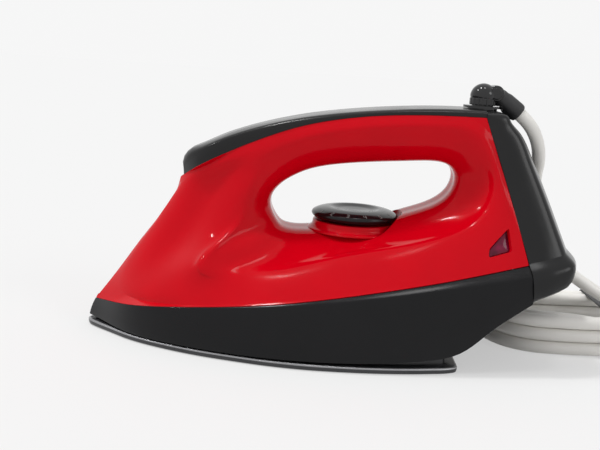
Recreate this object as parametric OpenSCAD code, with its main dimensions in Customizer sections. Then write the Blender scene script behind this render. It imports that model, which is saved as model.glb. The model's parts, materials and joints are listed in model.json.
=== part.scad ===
/* [Overall] */
// Length from the tip of the sole to the heel
iron_len = 244; // [238:1:252]
// Width across the widest place of the sole
body_w = 110; // [106:1:114]
// Height of the handle top above the table
handle_h = 123; // [120:1:127]

/* [Soleplate] */
// Length of the soleplate
sole_len = 186; // [182:1:190]
// Thickness of the sole's outer lip
sole_lip_t = 3; // [2:0.5:3.5]
// Height of the casting's thick middle
sole_block_h = 9; // [8:0.5:10]
// Width of the lip outside the thick middle
sole_lip_w = 6; // [5:0.5:9]
// Radius of the tubular heating element
heater_r = 3.5; // [3:0.25:4]
// Half the distance between the element's arms
heater_arm_y = 25; // [22:1:28]
// Wire pin radius at the element's ends
heater_pin_r = 1.2; // [1:0.1:1.5]
// Length of the wire pins
heater_pin_len = 14; // [13:0.5:15]
// Radius of the two studs that hold the skirt
stud_r = 2; // [1.5:0.25:2.5]

/* [Skirt and body] */
// Wall of the skirt
skirt_wall = 2.6; // [2:0.2:3]
// Height of the skirt's deck above the table
deck_z = 17.5; // [16.5:0.5:18]
// Thickness of the skirt's deck
deck_t = 2.5; // [2:0.25:3]
// Wall of the red body shell
shell_wall = 2.4; // [1.8:0.2:2.8]
// Wall of the handle cap and the rear cover
cover_wall = 2.2; // [1.8:0.2:2.6]
// Gap along the seams between mouldings
seam_gap = 0.15; // [0.1:0.05:0.3]
// Outer radius of the body's screw bosses
boss_r = 4; // [3.5:0.25:5]

/* [Temperature dial] */
// Dial diameter
dial_d = 44; // [40:1:45]
// Dial thickness
dial_t = 6; // [5:0.5:6.5]
// Dial axis, behind the middle of the iron
dial_x = 12; // [10:1:14]
// Height of the dial's collar above the saddle
collar_h = 4.2; // [3.5:0.1:5]
// Radius of the dial's hub
hub_r = 4.5; // [4:0.25:5.5]
// Radial running clearance of the hub
hub_clear = 0.1; // [0.05:0.05:0.2]
// Width over flats of the hexagonal drive
drive_af = 4; // [3:0.5:5]

/* [Thermostat] */
// Radius of the adjusting screw's thread
screw_r = 2; // [1.5:0.25:2.5]
// Length of the thermostat frame
frame_len = 34; // [30:1:38]
// Width of the thermostat frame
frame_w = 14; // [12:1:16]
// Sheet thickness of the frame
frame_t = 1.2; // [1:0.1:1.6]
// Height of the frame's bridge above the casting
frame_h = 20; // [19:1:24]
// Thickness of the contact blades
blade_t = 0.5; // [0.4:0.1:0.7]

/* [Wiring] */
// Length of the terminal block
block_len = 18; // [16:1:20]
// Width of one pole of the terminal block
pole_w = 10; // [9:0.5:11]
// Height of the terminal block
block_h = 12; // [10:1:14]
// Diameter of the insulated leads
lead_d = 2.6; // [2:0.2:3]
// Diameter of the indicator lamp
lamp_d = 6; // [5:0.5:6.5]

/* [Cord entry and cord] */
// Diameter of the power cord
cord_d = 6.8; // [6.4:0.2:7.2]
// Radius of the round flange under the swivel
flange_r = 9.5; // [8.5:0.5:10]
// Radius of the swivel's turret
turret_r = 6.6; // [6:0.2:7]
// Radius of the swivel's stem
stem_r = 5.2; // [4.6:0.2:5.6]
// Radius of the knuckle that carries the cord guard
knuckle_r = 4; // [3.8:0.1:4.2]
// Length of the cord guard from the knuckle's centre
guard_len = 16; // [15:0.5:17]
// Outer radius of the cord guard
guard_r = 4.8; // [4.6:0.1:5]
// Slope of the cord guard below level
guard_pitch = 36; // [34:1:37]

/* [Hidden] */

$fn = 48;

// The outlines below are drawn for these overall sizes and follow the driving ones
kx = iron_len / 244;
ky = body_w / 110;
kz = handle_h / 123;
ks = sole_len / 186;
tip_x = -122 * kx;
eps = 0.01;
steps = 2;

// Heights of the parts stacked above the table
stack_z = sole_block_h;
frame_top = stack_z + frame_h;
floor_z = 58.6 * kz;
collar_top = floor_z + collar_h;
dial_z = collar_top + 0.5;
hub_len = collar_h + 0.5 + 12 + 4;
rivet_r = 1.5;
washer_r = 4;
washer_t = 2;
bimetal_z = stack_z + frame_t;
bimetal_t = 0.9;
lower_z = bimetal_z + bimetal_t + washer_t;
upper_z = lower_z + blade_t + washer_t + 0.3;
stack_top = upper_z + blade_t + washer_t;
blade_w = 6;
blade_len = frame_len - 10;
nut_z = frame_top - 6;
tip_z = upper_z + blade_t + 0.3;
screw_top = dial_z - 8;

// Smooth curves through points that may be unevenly spaced
function at(p, i, loop) = loop ? p[(i + len(p)) % len(p)] : p[max(0, min(len(p) - 1, i))];
function slope(p, i, loop) =
    let (a = at(p, i - 1, loop), b = p[i % len(p)], c = at(p, i + 1, loop))
    let (u = max(norm(b - a), eps), v = max(norm(c - b), eps))
    u <= eps ? (c - b) / v : v <= eps ? (b - a) / u : ((b - a) / u * v + (c - b) / v * u) / (u + v);
function between(p, i, t, loop = false) =
    let (a = p[i], b = at(p, i + 1, loop), d = norm(b - a))
    let (m = slope(p, i, loop) * d, n = slope(p, (i + 1) % len(p), loop) * d)
    a * (2 * t * t * t - 3 * t * t + 1) + m * (t * t * t - 2 * t * t + t)
    + b * (3 * t * t - 2 * t * t * t) + n * (t * t * t - t * t);
function smooth(p, k = steps) =
    [for (i = [0:len(p) - 2]) for (s = [0:k - 1]) between(p, i, s / k), p[len(p) - 1]];
function smooth_loop(p, k = steps) =
    [for (i = [0:len(p) - 1]) for (s = [0:k - 1]) between(p, i, s / k, true)];
function mix(a, b, t) = a + (b - a) * t;
function unit(v) = v / max(norm(v), eps * eps);
function flip(p) = [p[0], -p[1], p[2]];
function reversed(p) = [for (i = [len(p) - 1:-1:0]) p[i]];
function but_last(p) = [for (i = [0:len(p) - 2]) p[i]];

// Outline points are written as length, half width and height
function fit(p) = [for (q = p) [q[0] * kx, q[1] * ky, q[2] * kz]];

// Edges of the red body, clockwise from the tip as seen from the left
ridge_edge = fit([[-118.5, 0, 13.2], [-109, 0, 26.5], [-96, 0, 46], [-84.5, 0, 62.5], [-79, 0, 72],
    [-77, 0, 79.4]]);
cap_edge = fit([[-77, 0, 79.4], [-66.2, 13, 87.3], [-43, 16, 99.5], [-16, 17, 110.2], [11, 17, 116],
    [38, 17, 118.6], [57, 17, 119.3], [71, 17, 119.5]]);
rear_edge = fit([[71, 17, 119.5], [77.2, 20, 103], [83, 24.5, 87], [88.8, 29.8, 70], [94.2, 36, 52.5]]);
skirt_edge = fit([[94.2, 36, 52.5], [76, 40.5, 48.6], [55, 45.4, 44.3], [30, 49.6, 39.6], [5, 52, 35],
    [-20, 52, 30.6], [-45, 48.4, 26.6], [-70, 41, 22.8], [-93, 29, 18.8], [-118.5, 0, 13.2]]);

// Edge of the handle opening on the centre plane
opening_edge = fit([[-26.5, 0, 60.5], [-29.5, 0, 65], [-31, 0, 70], [-30, 0, 75], [-27.5, 0, 78.5],
    [-24.5, 0, 81.5], [-20, 0, 84.5], [-12, 0, 88.6], [3, 0, 91.8], [20, 0, 93.8], [38, 0, 95.3],
    [50, 0, 96.2], [57, 0, 94.6], [60, 0, 90.5], [60.3, 0, 86], [58.5, 0, 80.8], [54.5, 0, 76.4],
    [47.5, 0, 72.5], [38, 0, 69.2], [24, 0, 64.2], [8, 0, 60.6], [-6, 0, 58.4], [-16, 0, 57.4],
    [-21.5, 0, 57.8], [-24.6, 0, 58.8]]);
// Half width of the flat band inside the opening at each of those points
band = [11, 10, 9, 9, 9, 9, 9, 9, 9, 9, 9, 9, 9, 10, 11, 12, 13, 13, 13, 13, 13, 13, 12, 12, 12];
// Line of the rounded ridge where the opening's flare meets the flank
flare_edge = fit([[-56, 33.5, 51], [-46, 25.5, 59.5], [-42, 22, 67], [-41, 21, 74.5], [-39.5, 20, 80.5],
    [-37, 19, 86], [-32, 18.5, 92], [-22, 18.5, 99], [-1, 19, 105.5], [18, 19.5, 108.6], [38, 19.5, 110.3],
    [54, 19.5, 110.5], [66, 20, 107.5], [73.5, 21.3, 99.5], [77.3, 23.2, 90], [76.5, 25.2, 79.5],
    [71.6, 27.5, 71.5], [61, 30.5, 64.8], [47, 32.5, 60], [27, 34, 55.6], [5, 35.8, 51], [-15, 37, 45],
    [-35, 38.2, 40.2], [-52, 39.2, 38.8], [-61.5, 38.6, 42]]);

band_loop = smooth_loop([for (b = band) [b * ky, 0, 0]]);
opening_loop = smooth_loop(opening_edge);
flare_loop = smooth_loop(flare_edge);
outer_loop = concat(but_last(smooth(ridge_edge)), but_last(smooth(cap_edge)),
    but_last(smooth(rear_edge)), but_last(smooth(skirt_edge)));
rows = len(outer_loop);
shut_rows = (len(ridge_edge) - 1) * steps;
nose_swell = 4.2 * ky;
flank_swell = 1.4 * ky;
// How much of a row swells like the nose, which fades out beyond it
function nose_share(i) =
    i <= shut_rows ? 1 : max(0, 1 - min(i - shut_rows, rows - i) / (1.5 * steps));

// Half a section of the body, from the opening's edge out to the seam
function half_section(i) =
    let (a = opening_loop[i], r = flare_loop[i], o = outer_loop[i], shut = i <= shut_rows)
    let (lean = unit([r[0] - a[0], 0, r[2] - a[2]]))
    let (b = a + [0, band_loop[i][0], 0] + lean * 0.6)
    let (f = mix(r, o, 0.5) + [0, mix(flank_swell, nose_swell * 0.7, nose_share(i)), 0])
    let (n = mix(r, o, mix(0.82, 0.88, nose_share(i)))
        + [0, mix(flank_swell * 0.4, nose_swell, nose_share(i)), 0])
    [a, b, r, f, n, o];
function whole_section(i) =
    let (h = half_section(i), last = len(h) - 1, shut = i <= shut_rows)
    let (past = shut ? flip(h[last - 1]) : 2 * h[last] - h[last - 1])
    let (side = concat([for (k = [1:last]) h[k]], [past]))
    let (full = concat(reversed([for (q = side) flip(q)]), [h[0]], side), all = smooth(full))
    [for (k = [steps:len(all) - 1 - steps]) all[k]];
body_grid = [for (i = [0:rows - 1]) whole_section(i)];
cols = len(body_grid[0]);

// Inner face of a shell, a wall's thickness inside the outer one
function grid_normal(g, i, j) =
    let (n = len(g), m = len(g[0]), shut = i <= shut_rows)
    let (u = g[(i + 1) % n][j] - g[(i - 1 + n) % n][j])
    let (edge = j == 0 || j == m - 1)
    let (v = edge && shut ? g[i][1] - g[i][m - 2] : g[i][min(m - 1, j + 1)] - g[i][max(0, j - 1)])
    unit(cross(u, v));
function inside(g, i, j, wall) =
    let (p = g[i][j], n = grid_normal(g, i, j))
    let (edge = j == 0 || j == len(g[0]) - 1)
    let (y = p[1] + n[1] * wall)
    [p[0] + n[0] * wall, abs(p[1]) < eps ? 0 : sign(p[1]) * max(abs(y), abs(p[1]) * 0.4), p[2] + n[2] * wall];
// The floor of the opening is thicker under the dial
function thick_at(i, j) =
    let (p = opening_loop[i], near = p[2] < handle_h / 1.6 ? 1 - abs(p[0] - dial_x - 6) / 36 : 0)
    shell_wall + 9 * min(1, 2 * max(0, near)) * min(1, max(0, 1.5 - abs(j - (cols - 1) / 2) / 3));
body_inner = [for (i = [0:rows - 1]) [for (j = [0:cols - 1]) inside(body_grid, i, j, thick_at(i, j))]];

function body_id(i, j, layer) =
    let (r = (i + rows) % rows)
    layer * rows * cols + r * cols + (r <= shut_rows && j == cols - 1 ? 0 : j);

module body_skin() {
    outer = [for (i = [0:rows - 1]) for (j = [0:cols - 2]) for (t = [0, 1])
        t == 0 ? [body_id(i, j, 0), body_id(i + 1, j + 1, 0), body_id(i, j + 1, 0)]
               : [body_id(i, j, 0), body_id(i + 1, j, 0), body_id(i + 1, j + 1, 0)]];
    inner = [for (i = [0:rows - 1]) for (j = [0:cols - 2]) for (t = [0, 1])
        t == 0 ? [body_id(i, j, 1), body_id(i, j + 1, 1), body_id(i + 1, j + 1, 1)]
               : [body_id(i, j, 1), body_id(i + 1, j + 1, 1), body_id(i + 1, j, 1)]];
    rims = [for (i = [shut_rows:rows - 1]) for (side = [0, 1]) for (t = [0, 1])
        let (j = side * (cols - 1))
        let (a = body_id(i, j, 0), b = body_id(i + 1, j, 0), c = body_id(i + 1, j, 1), d = body_id(i, j, 1))
        let (f = t == 0 ? [a, b, c] : [a, c, d])
        side == 0 ? reversed(f) : f];
    polyhedron(points = concat([for (r = body_grid) for (p = r) p], [for (r = body_inner) for (p = r) p]),
        faces = concat(outer, inner, rims), convexity = 6);
}

// A sheet between an outer and an inner grid, closed along all four edges
module shell_of(outer, inner) {
    n = len(outer);
    m = len(outer[0]);
    function id(i, j, layer) = layer * n * m + i * m + j;
    quads = concat(
        [for (i = [0:n - 2]) for (j = [0:m - 2])
            [id(i, j, 0), id(i, j + 1, 0), id(i + 1, j + 1, 0), id(i + 1, j, 0)]],
        [for (i = [0:n - 2]) for (j = [0:m - 2])
            [id(i, j, 1), id(i + 1, j, 1), id(i + 1, j + 1, 1), id(i, j + 1, 1)]],
        [for (i = [0:n - 2]) [id(i, 0, 0), id(i + 1, 0, 0), id(i + 1, 0, 1), id(i, 0, 1)]],
        [for (i = [0:n - 2]) [id(i, m - 1, 0), id(i, m - 1, 1), id(i + 1, m - 1, 1), id(i + 1, m - 1, 0)]],
        [for (j = [0:m - 2]) [id(0, j, 0), id(0, j, 1), id(0, j + 1, 1), id(0, j + 1, 0)]],
        [for (j = [0:m - 2]) [id(n - 1, j, 0), id(n - 1, j + 1, 0), id(n - 1, j + 1, 1), id(n - 1, j, 1)]]);
    faces = [for (q = quads) for (t = [0, 1]) t == 0 ? [q[0], q[2], q[1]] : [q[0], q[3], q[2]]];
    polyhedron(points = concat([for (r = outer) for (p = r) p], [for (r = inner) for (p = r) p]),
        faces = faces, convexity = 6);
}
function open_normal(g, i, j) =
    let (u = g[min(len(g) - 1, i + 1)][j] - g[max(0, i - 1)][j])
    let (v = g[i][min(len(g[0]) - 1, j + 1)] - g[i][max(0, j - 1)])
    unit(cross(u, v));
function thickened(g, wall) =
    [for (i = [0:len(g) - 1]) [for (j = [0:len(g[0]) - 1]) g[i][j] + open_normal(g, i, j) * wall]];

// A round tube swept along points
function heading(path, i) = unit(at(path, i + 1, false) - at(path, i - 1, false));
function squared(s, t) = unit(s - t * (s * t));
module swept_tube(path, r, sides = 8) {
    n = len(path);
    across = [for (i = 0, s = squared([0.3, 1, 0.2], heading(path, 0)); i < n;
        i = i + 1, s = squared(s, heading(path, i))) s];
    ring = [for (i = [0:n - 1]) let (s = across[i], u = cross(s, heading(path, i))) for (k = [0:sides - 1])
        path[i] + r * (cos(360 * k / sides) * s + sin(360 * k / sides) * u)];
    skin = [for (i = [0:n - 2]) for (k = [0:sides - 1]) for (t = [0, 1])
        let (a = i * sides + k, b = i * sides + (k + 1) % sides)
        t == 0 ? [a, b + sides, a + sides] : [a, b, b + sides]];
    polyhedron(points = ring, faces = concat(skin, [[for (k = [sides - 1:-1:0]) k]],
        [[for (k = [0:sides - 1]) (n - 1) * sides + k]]), convexity = 8);
}

// Soleplate outline, half of it from the tip to the rear corner
sole_half = [[-122, 0], [-120.5, 4], [-115.5, 9.5], [-109, 15.3], [-95, 27.3], [-77, 37.4], [-60, 44.3],
    [-45, 48.6], [-28, 52.6], [-11, 54.8], [8, 55], [34, 52.6], [50, 49.4], [59.5, 46.6], [63, 44.2],
    [64, 41]];
function sole_point(q) = [tip_x + (q[0] + 122) * ks, q[1] * ky];
sole_line = smooth([for (q = sole_half) sole_point(q)], 3);
function both_sides(line) = concat(line, reversed([for (q = line) if (q[1] > eps) [q[0], -q[1]]]));
function inset_line(line, d, rear) =
    let (moved = [for (i = [0:len(line) - 1]) line[i] + [heading(line, i)[1] * d, -heading(line, i)[0] * d]])
    let (kept = [for (q = moved) if (q[1] > 1 && q[0] < rear - d - 1) q])
    concat([[kept[0][0] - 0.7 * kept[0][1], 0]], kept, [[rear - d, kept[len(kept) - 1][1] - 1]]);
sole_rear = sole_point([64, 0])[0];
heater_nose = -36 * ks;
heater_rear = 46 * ks;
stud_xs = [-84 * ks, 55 * ks];
thermostat_x = dial_x - frame_len / 2 + 7;
blade_tail = 14;
slot_front = thermostat_x - blade_tail - 3;
slot_rear = thermostat_x + frame_len - 3;
slot_w = frame_w + 6;
shield_z = stack_z + 1.5;
shield_t = 0.8;

module sole_outline(d) {
    polygon(both_sides(d == 0 ? sole_line : inset_line(sole_line, d, sole_rear)));
}
module heater_path(r) {
    for (s = [-1, 1])
        translate([heater_nose, s * heater_arm_y, stack_z]) rotate([0, 90, 0])
            cylinder(r = r, h = heater_rear - heater_nose);
    translate([heater_nose, 0, stack_z]) rotate([0, 0, 90])
        rotate_extrude(angle = 180) translate([heater_arm_y, 0]) circle(r = r);
}
module soleplate() {
    color("#3c3c40") difference() {
        union() {
            linear_extrude(sole_lip_t) sole_outline(0);
            linear_extrude(sole_block_h) sole_outline(sole_lip_w);
        }
        heater_path(heater_r);
        for (s = [-1, 1])
            translate([heater_rear - eps, s * heater_arm_y, stack_z]) rotate([0, 90, 0])
                cylinder(r = heater_r, h = sole_rear - heater_rear);
        for (x = stud_xs)
            translate([x, 0, sole_lip_t]) cylinder(r = stud_r, h = sole_block_h);
        translate([thermostat_x, 0, sole_lip_t]) cylinder(r = rivet_r, h = sole_block_h);
    }
}
module heating_element() {
    color("#6b6b6b") difference() {
        heater_path(heater_r);
        for (s = [-1, 1])
            translate([heater_rear - 4, s * heater_arm_y, stack_z]) rotate([0, 90, 0])
                cylinder(r = heater_pin_r, h = 5);
    }
}
module element_terminals() {
    color("#c9c4b8") for (s = [-1, 1])
        translate([heater_rear - 4, s * heater_arm_y, stack_z]) rotate([0, 90, 0]) {
            cylinder(r = heater_pin_r, h = heater_pin_len);
            translate([0, 0, 4]) cylinder(r = heater_r - 0.6, h = 2);
        }
}
// Thin plate that keeps the heat away from the plastic
module heat_shield() {
    color("#b8bcc0") difference() {
        translate([0, 0, shield_z + heater_r]) linear_extrude(shield_t) sole_outline(sole_lip_w + 8);
        for (x = stud_xs)
            translate([x, 0, 0]) cylinder(r = spacer_r + 0.4, h = 40);
        translate([slot_front, -slot_w / 2, 0]) cube([slot_rear - slot_front, slot_w, handle_h]);
        for (s = [-1, 1])
            translate([heater_rear + 2, s * heater_arm_y - 6, 0]) cube([20, 12, 40]);
    }
}
spacer_r = stud_r + 2;
nut_h = 3;
module sole_studs() {
    color("#c8ccd0") for (x = stud_xs)
        translate([x, 0, sole_lip_t]) cylinder(r = stud_r, h = deck_z + deck_t + nut_h + 1.5 - sole_lip_t);
}
module stud_spacers() {
    color("#a8acb0") for (x = stud_xs)
        translate([x, 0, stack_z]) difference() {
            cylinder(r = spacer_r, h = deck_z - stack_z);
            translate([0, 0, -1]) cylinder(r = stud_r + 0.2, h = deck_z);
        }
}
module stud_nuts() {
    color("#c8ccd0") for (x = stud_xs)
        translate([x, 0, deck_z + deck_t]) difference() {
            cylinder(r = stud_r * 2, h = nut_h, $fn = 6);
            translate([0, 0, -1]) cylinder(r = stud_r, h = nut_h + 2);
        }
}

// Skirt, a band around the iron from the rear left over the tip to the rear right
skirt_low = fit([[97, 40.5, 34.5], [81, 43.6, 23.5], [64, 46.3, 10], [36, 52.6, 5.8], [6, 55, 4.3],
    [-20, 53.6, 3.8], [-45, 48.6, 3.6], [-70, 40.6, 3.6], [-93.5, 28.6, 3.6], [-121.6, 0, 4.2]]);
lip_w = 4;
lip_drop = 4.6;
bevel_w = [5, 4.4, 3.5, 2.8, 2.1, 1.4, 0.8, 0.4, 0.3, 0.3];
skirt_top = [for (q = skirt_edge) q - [0, 0, seam_gap]];
skirt_side = [for (i = [0:len(skirt_edge) - 1])
    skirt_top[i] + [i == len(skirt_edge) - 1 ? -bevel_w[i] : 0, i == len(skirt_edge) - 1 ? 0 : bevel_w[i],
        -1.25 * bevel_w[i]]];
skirt_in = [for (i = [0:len(skirt_edge) - 1])
    i == len(skirt_edge) - 1 ? skirt_top[i] + [lip_w, 0, -lip_drop / 2]
        : skirt_top[i] - [0, min(lip_w, skirt_top[i][1] * 0.6), lip_drop]];
function round_the_tip(p) = let (s = smooth(p)) concat([for (q = s) flip(q)], reversed(but_last(s)));
skirt_rails = [for (r = [skirt_low, skirt_side, skirt_top, skirt_in]) round_the_tip(r)];
skirt_grid = [for (i = [0:len(skirt_rails[0]) - 1]) [for (r = skirt_rails) r[i]]];
skirt_inner = [for (i = [0:len(skirt_grid) - 1]) let (g = skirt_grid[i], last = len(skirt_grid) / 2)
    let (front = abs(g[0][1]) < 8, lean = front ? 1 : g[0][0] > sole_rear ? -0.3 : 0.25)
    let (toward = [lean, front ? 0 : -sign(g[0][1]), 0] * skirt_wall)
    [g[0] + toward, g[1] + toward - [0, 0, skirt_wall * 0.3],
     g[2] + toward * 0.6 - [0, 0, skirt_wall], g[3] - [0, 0, skirt_wall]]];

function low_line(d) = [for (q = reversed(smooth(skirt_low))) [q[0], max(0, q[1] - d)]];
module skirt_plan(x0, x1, d) {
    intersection() {
        polygon(both_sides(low_line(d)));
        translate([x0, -body_w]) square([x1 - x0, 2 * body_w]);
    }
}
body_screw_xs = [slot_front - boss_r - 3, slot_rear + boss_r + 1];
body_screw_r = 1.6;
body_screw_len = 14;
module skirt() {
    underside = [for (q = smooth(skirt_low)) if (q[0] > 60 * kx) [q[0] - 0.3, q[2] + 0.4]];
    color("#242426") difference() {
        union() {
            shell_of(skirt_grid, skirt_inner);
            translate([0, 0, deck_z]) linear_extrude(deck_t) skirt_plan(-66 * kx, 73 * kx, skirt_wall / 2);
            intersection() {
                rotate([90, 0, 0]) linear_extrude(2 * body_w, center = true)
                    polygon(concat(underside, reversed([for (q = underside) q + [-1, skirt_wall]])));
                linear_extrude(handle_h) skirt_plan(60 * kx, 94.6 * kx, skirt_wall / 2);
            }
        }
        for (x = stud_xs)
            translate([x, 0, 0]) cylinder(r = stud_r + 0.3, h = handle_h);
        for (x = body_screw_xs)
            translate([x, 0, 0]) cylinder(r = body_screw_r + 0.3, h = handle_h);
        translate([slot_front, -slot_w / 2, stack_z]) cube([slot_rear - slot_front, slot_w, handle_h]);
        for (s = [-1, 1])
            translate([heater_rear + 8, s * heater_arm_y, stack_z]) cylinder(r = 4, h = handle_h);
    }
}

// The round well around the dial, with a collar that carries it
collar_r = dial_d / 2 - 2;
well_r = collar_r + 3.6;
rear_screw_z = 84 * kz;
rear_screw_r = 1.6;
lens_c = [81.6 * kx, -33.5 * ky, 60.8 * kz];
lens_lean = [66, 0, 14];
lens_side = 11;
lens_t = 2.6;
lens_sunk = 1;
lens_gap = 0.2;
recess_deep = 6;
lens_axis = [sin(lens_lean[0]) * sin(lens_lean[2]), -sin(lens_lean[0]) * cos(lens_lean[2]),
    cos(lens_lean[0])];
boss_top = [56.4 * kz, 66.8 * kz];
module lens_prism(side, h) {
    linear_extrude(h)
        polygon([[-0.66 * side, -0.5 * side], [0.34 * side, -0.2 * side], [0.26 * side, 0.7 * side]]);
}
module at_lens() {
    translate(lens_c) rotate(lens_lean) children();
}
module body_shell() {
    color("#c8001e") difference() {
        union() {
            difference() {
                body_skin();
                translate([dial_x, 0, floor_z]) cylinder(r = well_r, h = 12);
            }
            translate([dial_x, 0, floor_z - 1])
                cylinder(r1 = well_r - 0.6, r2 = collar_r + 0.8, h = collar_h + 1);
            translate([dial_x, 0, floor_z - 12]) cylinder(r = hub_r + 3, h = 13);
            for (i = [0, 1])
                translate([body_screw_xs[i], 0, deck_z + deck_t])
                    cylinder(r = boss_r, h = boss_top[i] - deck_z - deck_t);
            translate([61.4 * kx, 0, rear_screw_z]) rotate([0, 90, 0]) cylinder(r = boss_r, h = 36.6 * kx);
        }
        translate([dial_x, 0, floor_z - 20]) cylinder(r = hub_r + hub_clear, h = 30);
        for (i = [0, 1])
            translate([body_screw_xs[i], 0, deck_z]) cylinder(r = body_screw_r, h = body_screw_len + 2);
        translate([72 * kx, 0, rear_screw_z]) rotate([0, 90, 0]) cylinder(r = rear_screw_r, h = 40 * kx);
        at_lens() translate([0, 0, -recess_deep])
            lens_prism(lens_side + 2 * lens_gap, 2 * recess_deep);
    }
}
module body_screws() {
    color("#c8ccd0") for (x = body_screw_xs)
        translate([x, 0, deck_z - 1.8]) {
            cylinder(r = body_screw_r * 2, h = 1.8);
            cylinder(r = body_screw_r, h = body_screw_len);
        }
}

// Handle cap over the top of the handle
cap_top = fit([[-76.6, 0, 84], [-75.4, 0, 90.5], [-72.5, 0, 94], [-66, 0, 97.2], [-54, 0, 103],
    [-38, 0, 108.8], [-20, 0, 113.6], [2, 0, 117.6], [24, 0, 120.4], [46, 0, 122.3], [60, 0, 122.9],
    [71, 0, 123]]);
cap_plan = [for (q = smooth(cap_edge)) [q[0], q[1]]];
cap_low = [for (q = smooth(cap_edge)) [q[0], q[2] + seam_gap]];
cap_high = [for (q = smooth(cap_top, 3)) [q[0], q[2]]];
cap_skin = 0.3;
cap_rebate_h = 2.2;
function shrunk(line, d) = [for (q = line) [q[0] + (q[0] < -60 * kx ? d : 0), max(0.1, q[1] - d)]];
module swivel_hole(r) {
    translate([swivel_x, 0, handle_h - 14]) cylinder(r = r, h = 30);
}
module handle_cap() {
    color("#333335") difference() {
        intersection() {
            rotate([90, 0, 0]) linear_extrude(body_w, center = true)
                polygon(concat(cap_low, reversed(cap_high)));
            linear_extrude(2 * handle_h) polygon(both_sides(cap_plan));
        }
        intersection() {
            rotate([90, 0, 0]) linear_extrude(body_w, center = true)
                polygon(concat([for (q = cap_low) [q[0] + 3, q[1] - 2]],
                    reversed([for (q = cap_high) [q[0] + 3, q[1] - cover_wall]])));
            linear_extrude(2 * handle_h) polygon(both_sides(shrunk(cap_plan, cover_wall + 1)));
        }
        intersection() {
            rotate([90, 0, 0]) linear_extrude(body_w, center = true)
                polygon(concat([for (q = cap_low) [q[0] + cap_skin, q[1] - 2]],
                    reversed([for (q = cap_low) [q[0] + cap_skin, q[1] + cap_rebate_h]])));
            linear_extrude(2 * handle_h) polygon(both_sides(shrunk(cap_plan, cap_skin)));
        }
        swivel_hole(flange_stem_r);
        translate([rear_edge[0][0] - seam_gap, -body_w / 2, 0]) cube([40, body_w, 2 * handle_h]);
    }
}

// Rear cover, rows from the cap seam over the top and down to the underside
cover_side = fit([[71, 17, 119.5], [71.8, 17.3, 117.5], [72.8, 17.8, 114.8], [74.2, 18.5, 111],
    [75.8, 19.3, 106.8], [79.4, 21.6, 97.3], [85.2, 26.4, 80.8], [90.4, 31.4, 65], [94.2, 36, 53.6],
    [95.4, 40.8, 47.3], [96.8, 41.2, 37.6], [97, 39.5, 34.8]]);
cover_corner = fit([[71, 15, 122.1], [78, 15, 122], [81.8, 14.6, 121.2], [84.2, 14.6, 117.6],
    [88.6, 15.2, 112.6], [95.4, 18.4, 98.6], [102.9, 22.4, 82.6], [109.4, 26.4, 67.8],
    [113.6, 29.2, 58.6], [117.9, 32.8, 51.6], [117.2, 33.4, 46.2], [97.6, 28, 34.8]]);
cover_back = fit([[71, 0, 123], [76.5, 0, 122.7], [79.4, 0, 121.2], [83, 0, 117.6], [90, 0, 111.6],
    [98.4, 0, 98.4], [106.2, 0, 82.4], [112.8, 0, 67.8], [117, 0, 58.4], [122, 0, 52], [121.4, 0, 46],
    [97.8, 0, 34.8]]);
// Each rail breaks where the cover steps out over the skirt
cover_break = 8;
function broken(p, k) =
    concat(but_last(smooth([for (i = [0:k]) p[i]])), smooth([for (i = [k:len(p) - 1]) p[i]]));
cover_rails = [for (r = [cover_side, cover_corner, cover_back])
    [for (q = broken(r, cover_break)) q + [seam_gap, 0, 0]]];
corner_w = 0.14;
cover_grid = [for (i = [0:len(cover_rails[0]) - 1])
    let (s = cover_rails[0][i], c = cover_rails[1][i], b = cover_rails[2][i])
    let (m = mix(s, c, 0.55) + [0, 1.6 * ky, 0])
    smooth([s, m, mix(c, m, corner_w), mix(c, b, corner_w), b, mix(flip(c), b, corner_w),
        mix(flip(c), flip(m), corner_w), flip(m), flip(s)])];
module rear_cover() {
    color("#37373a") difference() {
        shell_of(cover_grid, thickened(cover_grid, cover_wall));
        swivel_hole(flange_stem_r);
        translate([80 * kx, 0, rear_screw_z]) rotate([0, 90, 0]) cylinder(r = rear_screw_r + 0.4, h = 60);
        translate([103 * kx, 0, rear_screw_z]) rotate([0, 90, 0])
            cylinder(r = rear_screw_r * 2 + 0.4, h = 60);
    }
}
module rear_cover_screw() {
    color("#c8ccd0") translate([84 * kx, 0, rear_screw_z]) rotate([0, 90, 0]) {
        cylinder(r = rear_screw_r, h = 19 * kx + eps);
        translate([0, 0, 19 * kx]) difference() {
            cylinder(r = rear_screw_r * 2, h = 2);
            for (a = [0, 90])
                rotate([0, 0, a]) translate([-2, -0.35, 1]) cube([4, 0.7, 2]);
        }
    }
}

// Dial: a thick lens with a dished top, and a hub that passes through the collar
module temperature_dial() {
    r = dial_d / 2;
    color("#1c1c1e") translate([dial_x, 0, dial_z]) difference() {
        union() {
            rotate_extrude() polygon([[0, 0], [r - 2.6, 0], [r - 0.9, dial_t * 0.18], [r, dial_t * 0.42],
                [r - 0.7, dial_t * 0.64], [r - 3.4, dial_t * 0.86], [r - 7, dial_t * 0.98], [r - 9.5, dial_t],
                [r - 11, dial_t * 0.94], [r - 13.5, dial_t * 0.83], [0, dial_t * 0.77]]);
            translate([0, 0, -hub_len]) cylinder(r = hub_r, h = hub_len + eps);
        }
        translate([0, 0, -hub_len - 1]) cylinder(d = drive_af / cos(30) + 0.3, h = hub_len, $fn = 6);
        translate([0, 0, -hub_len + 1.5]) rotate_extrude() translate([hub_r - 0.8, 0]) square([2, 1.2]);
    }
}
module dial_retainer() {
    color("#b8bcc0") translate([dial_x, 0, dial_z - hub_len + 1.6]) difference() {
        cylinder(r = hub_r + 2, h = 1);
        translate([0, 0, -1]) cylinder(r = hub_r - 0.7, h = 3);
        translate([0, -hub_r + 1.2, -1]) cube([hub_r + 4, 2 * hub_r - 2.4, 3]);
    }
}
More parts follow.
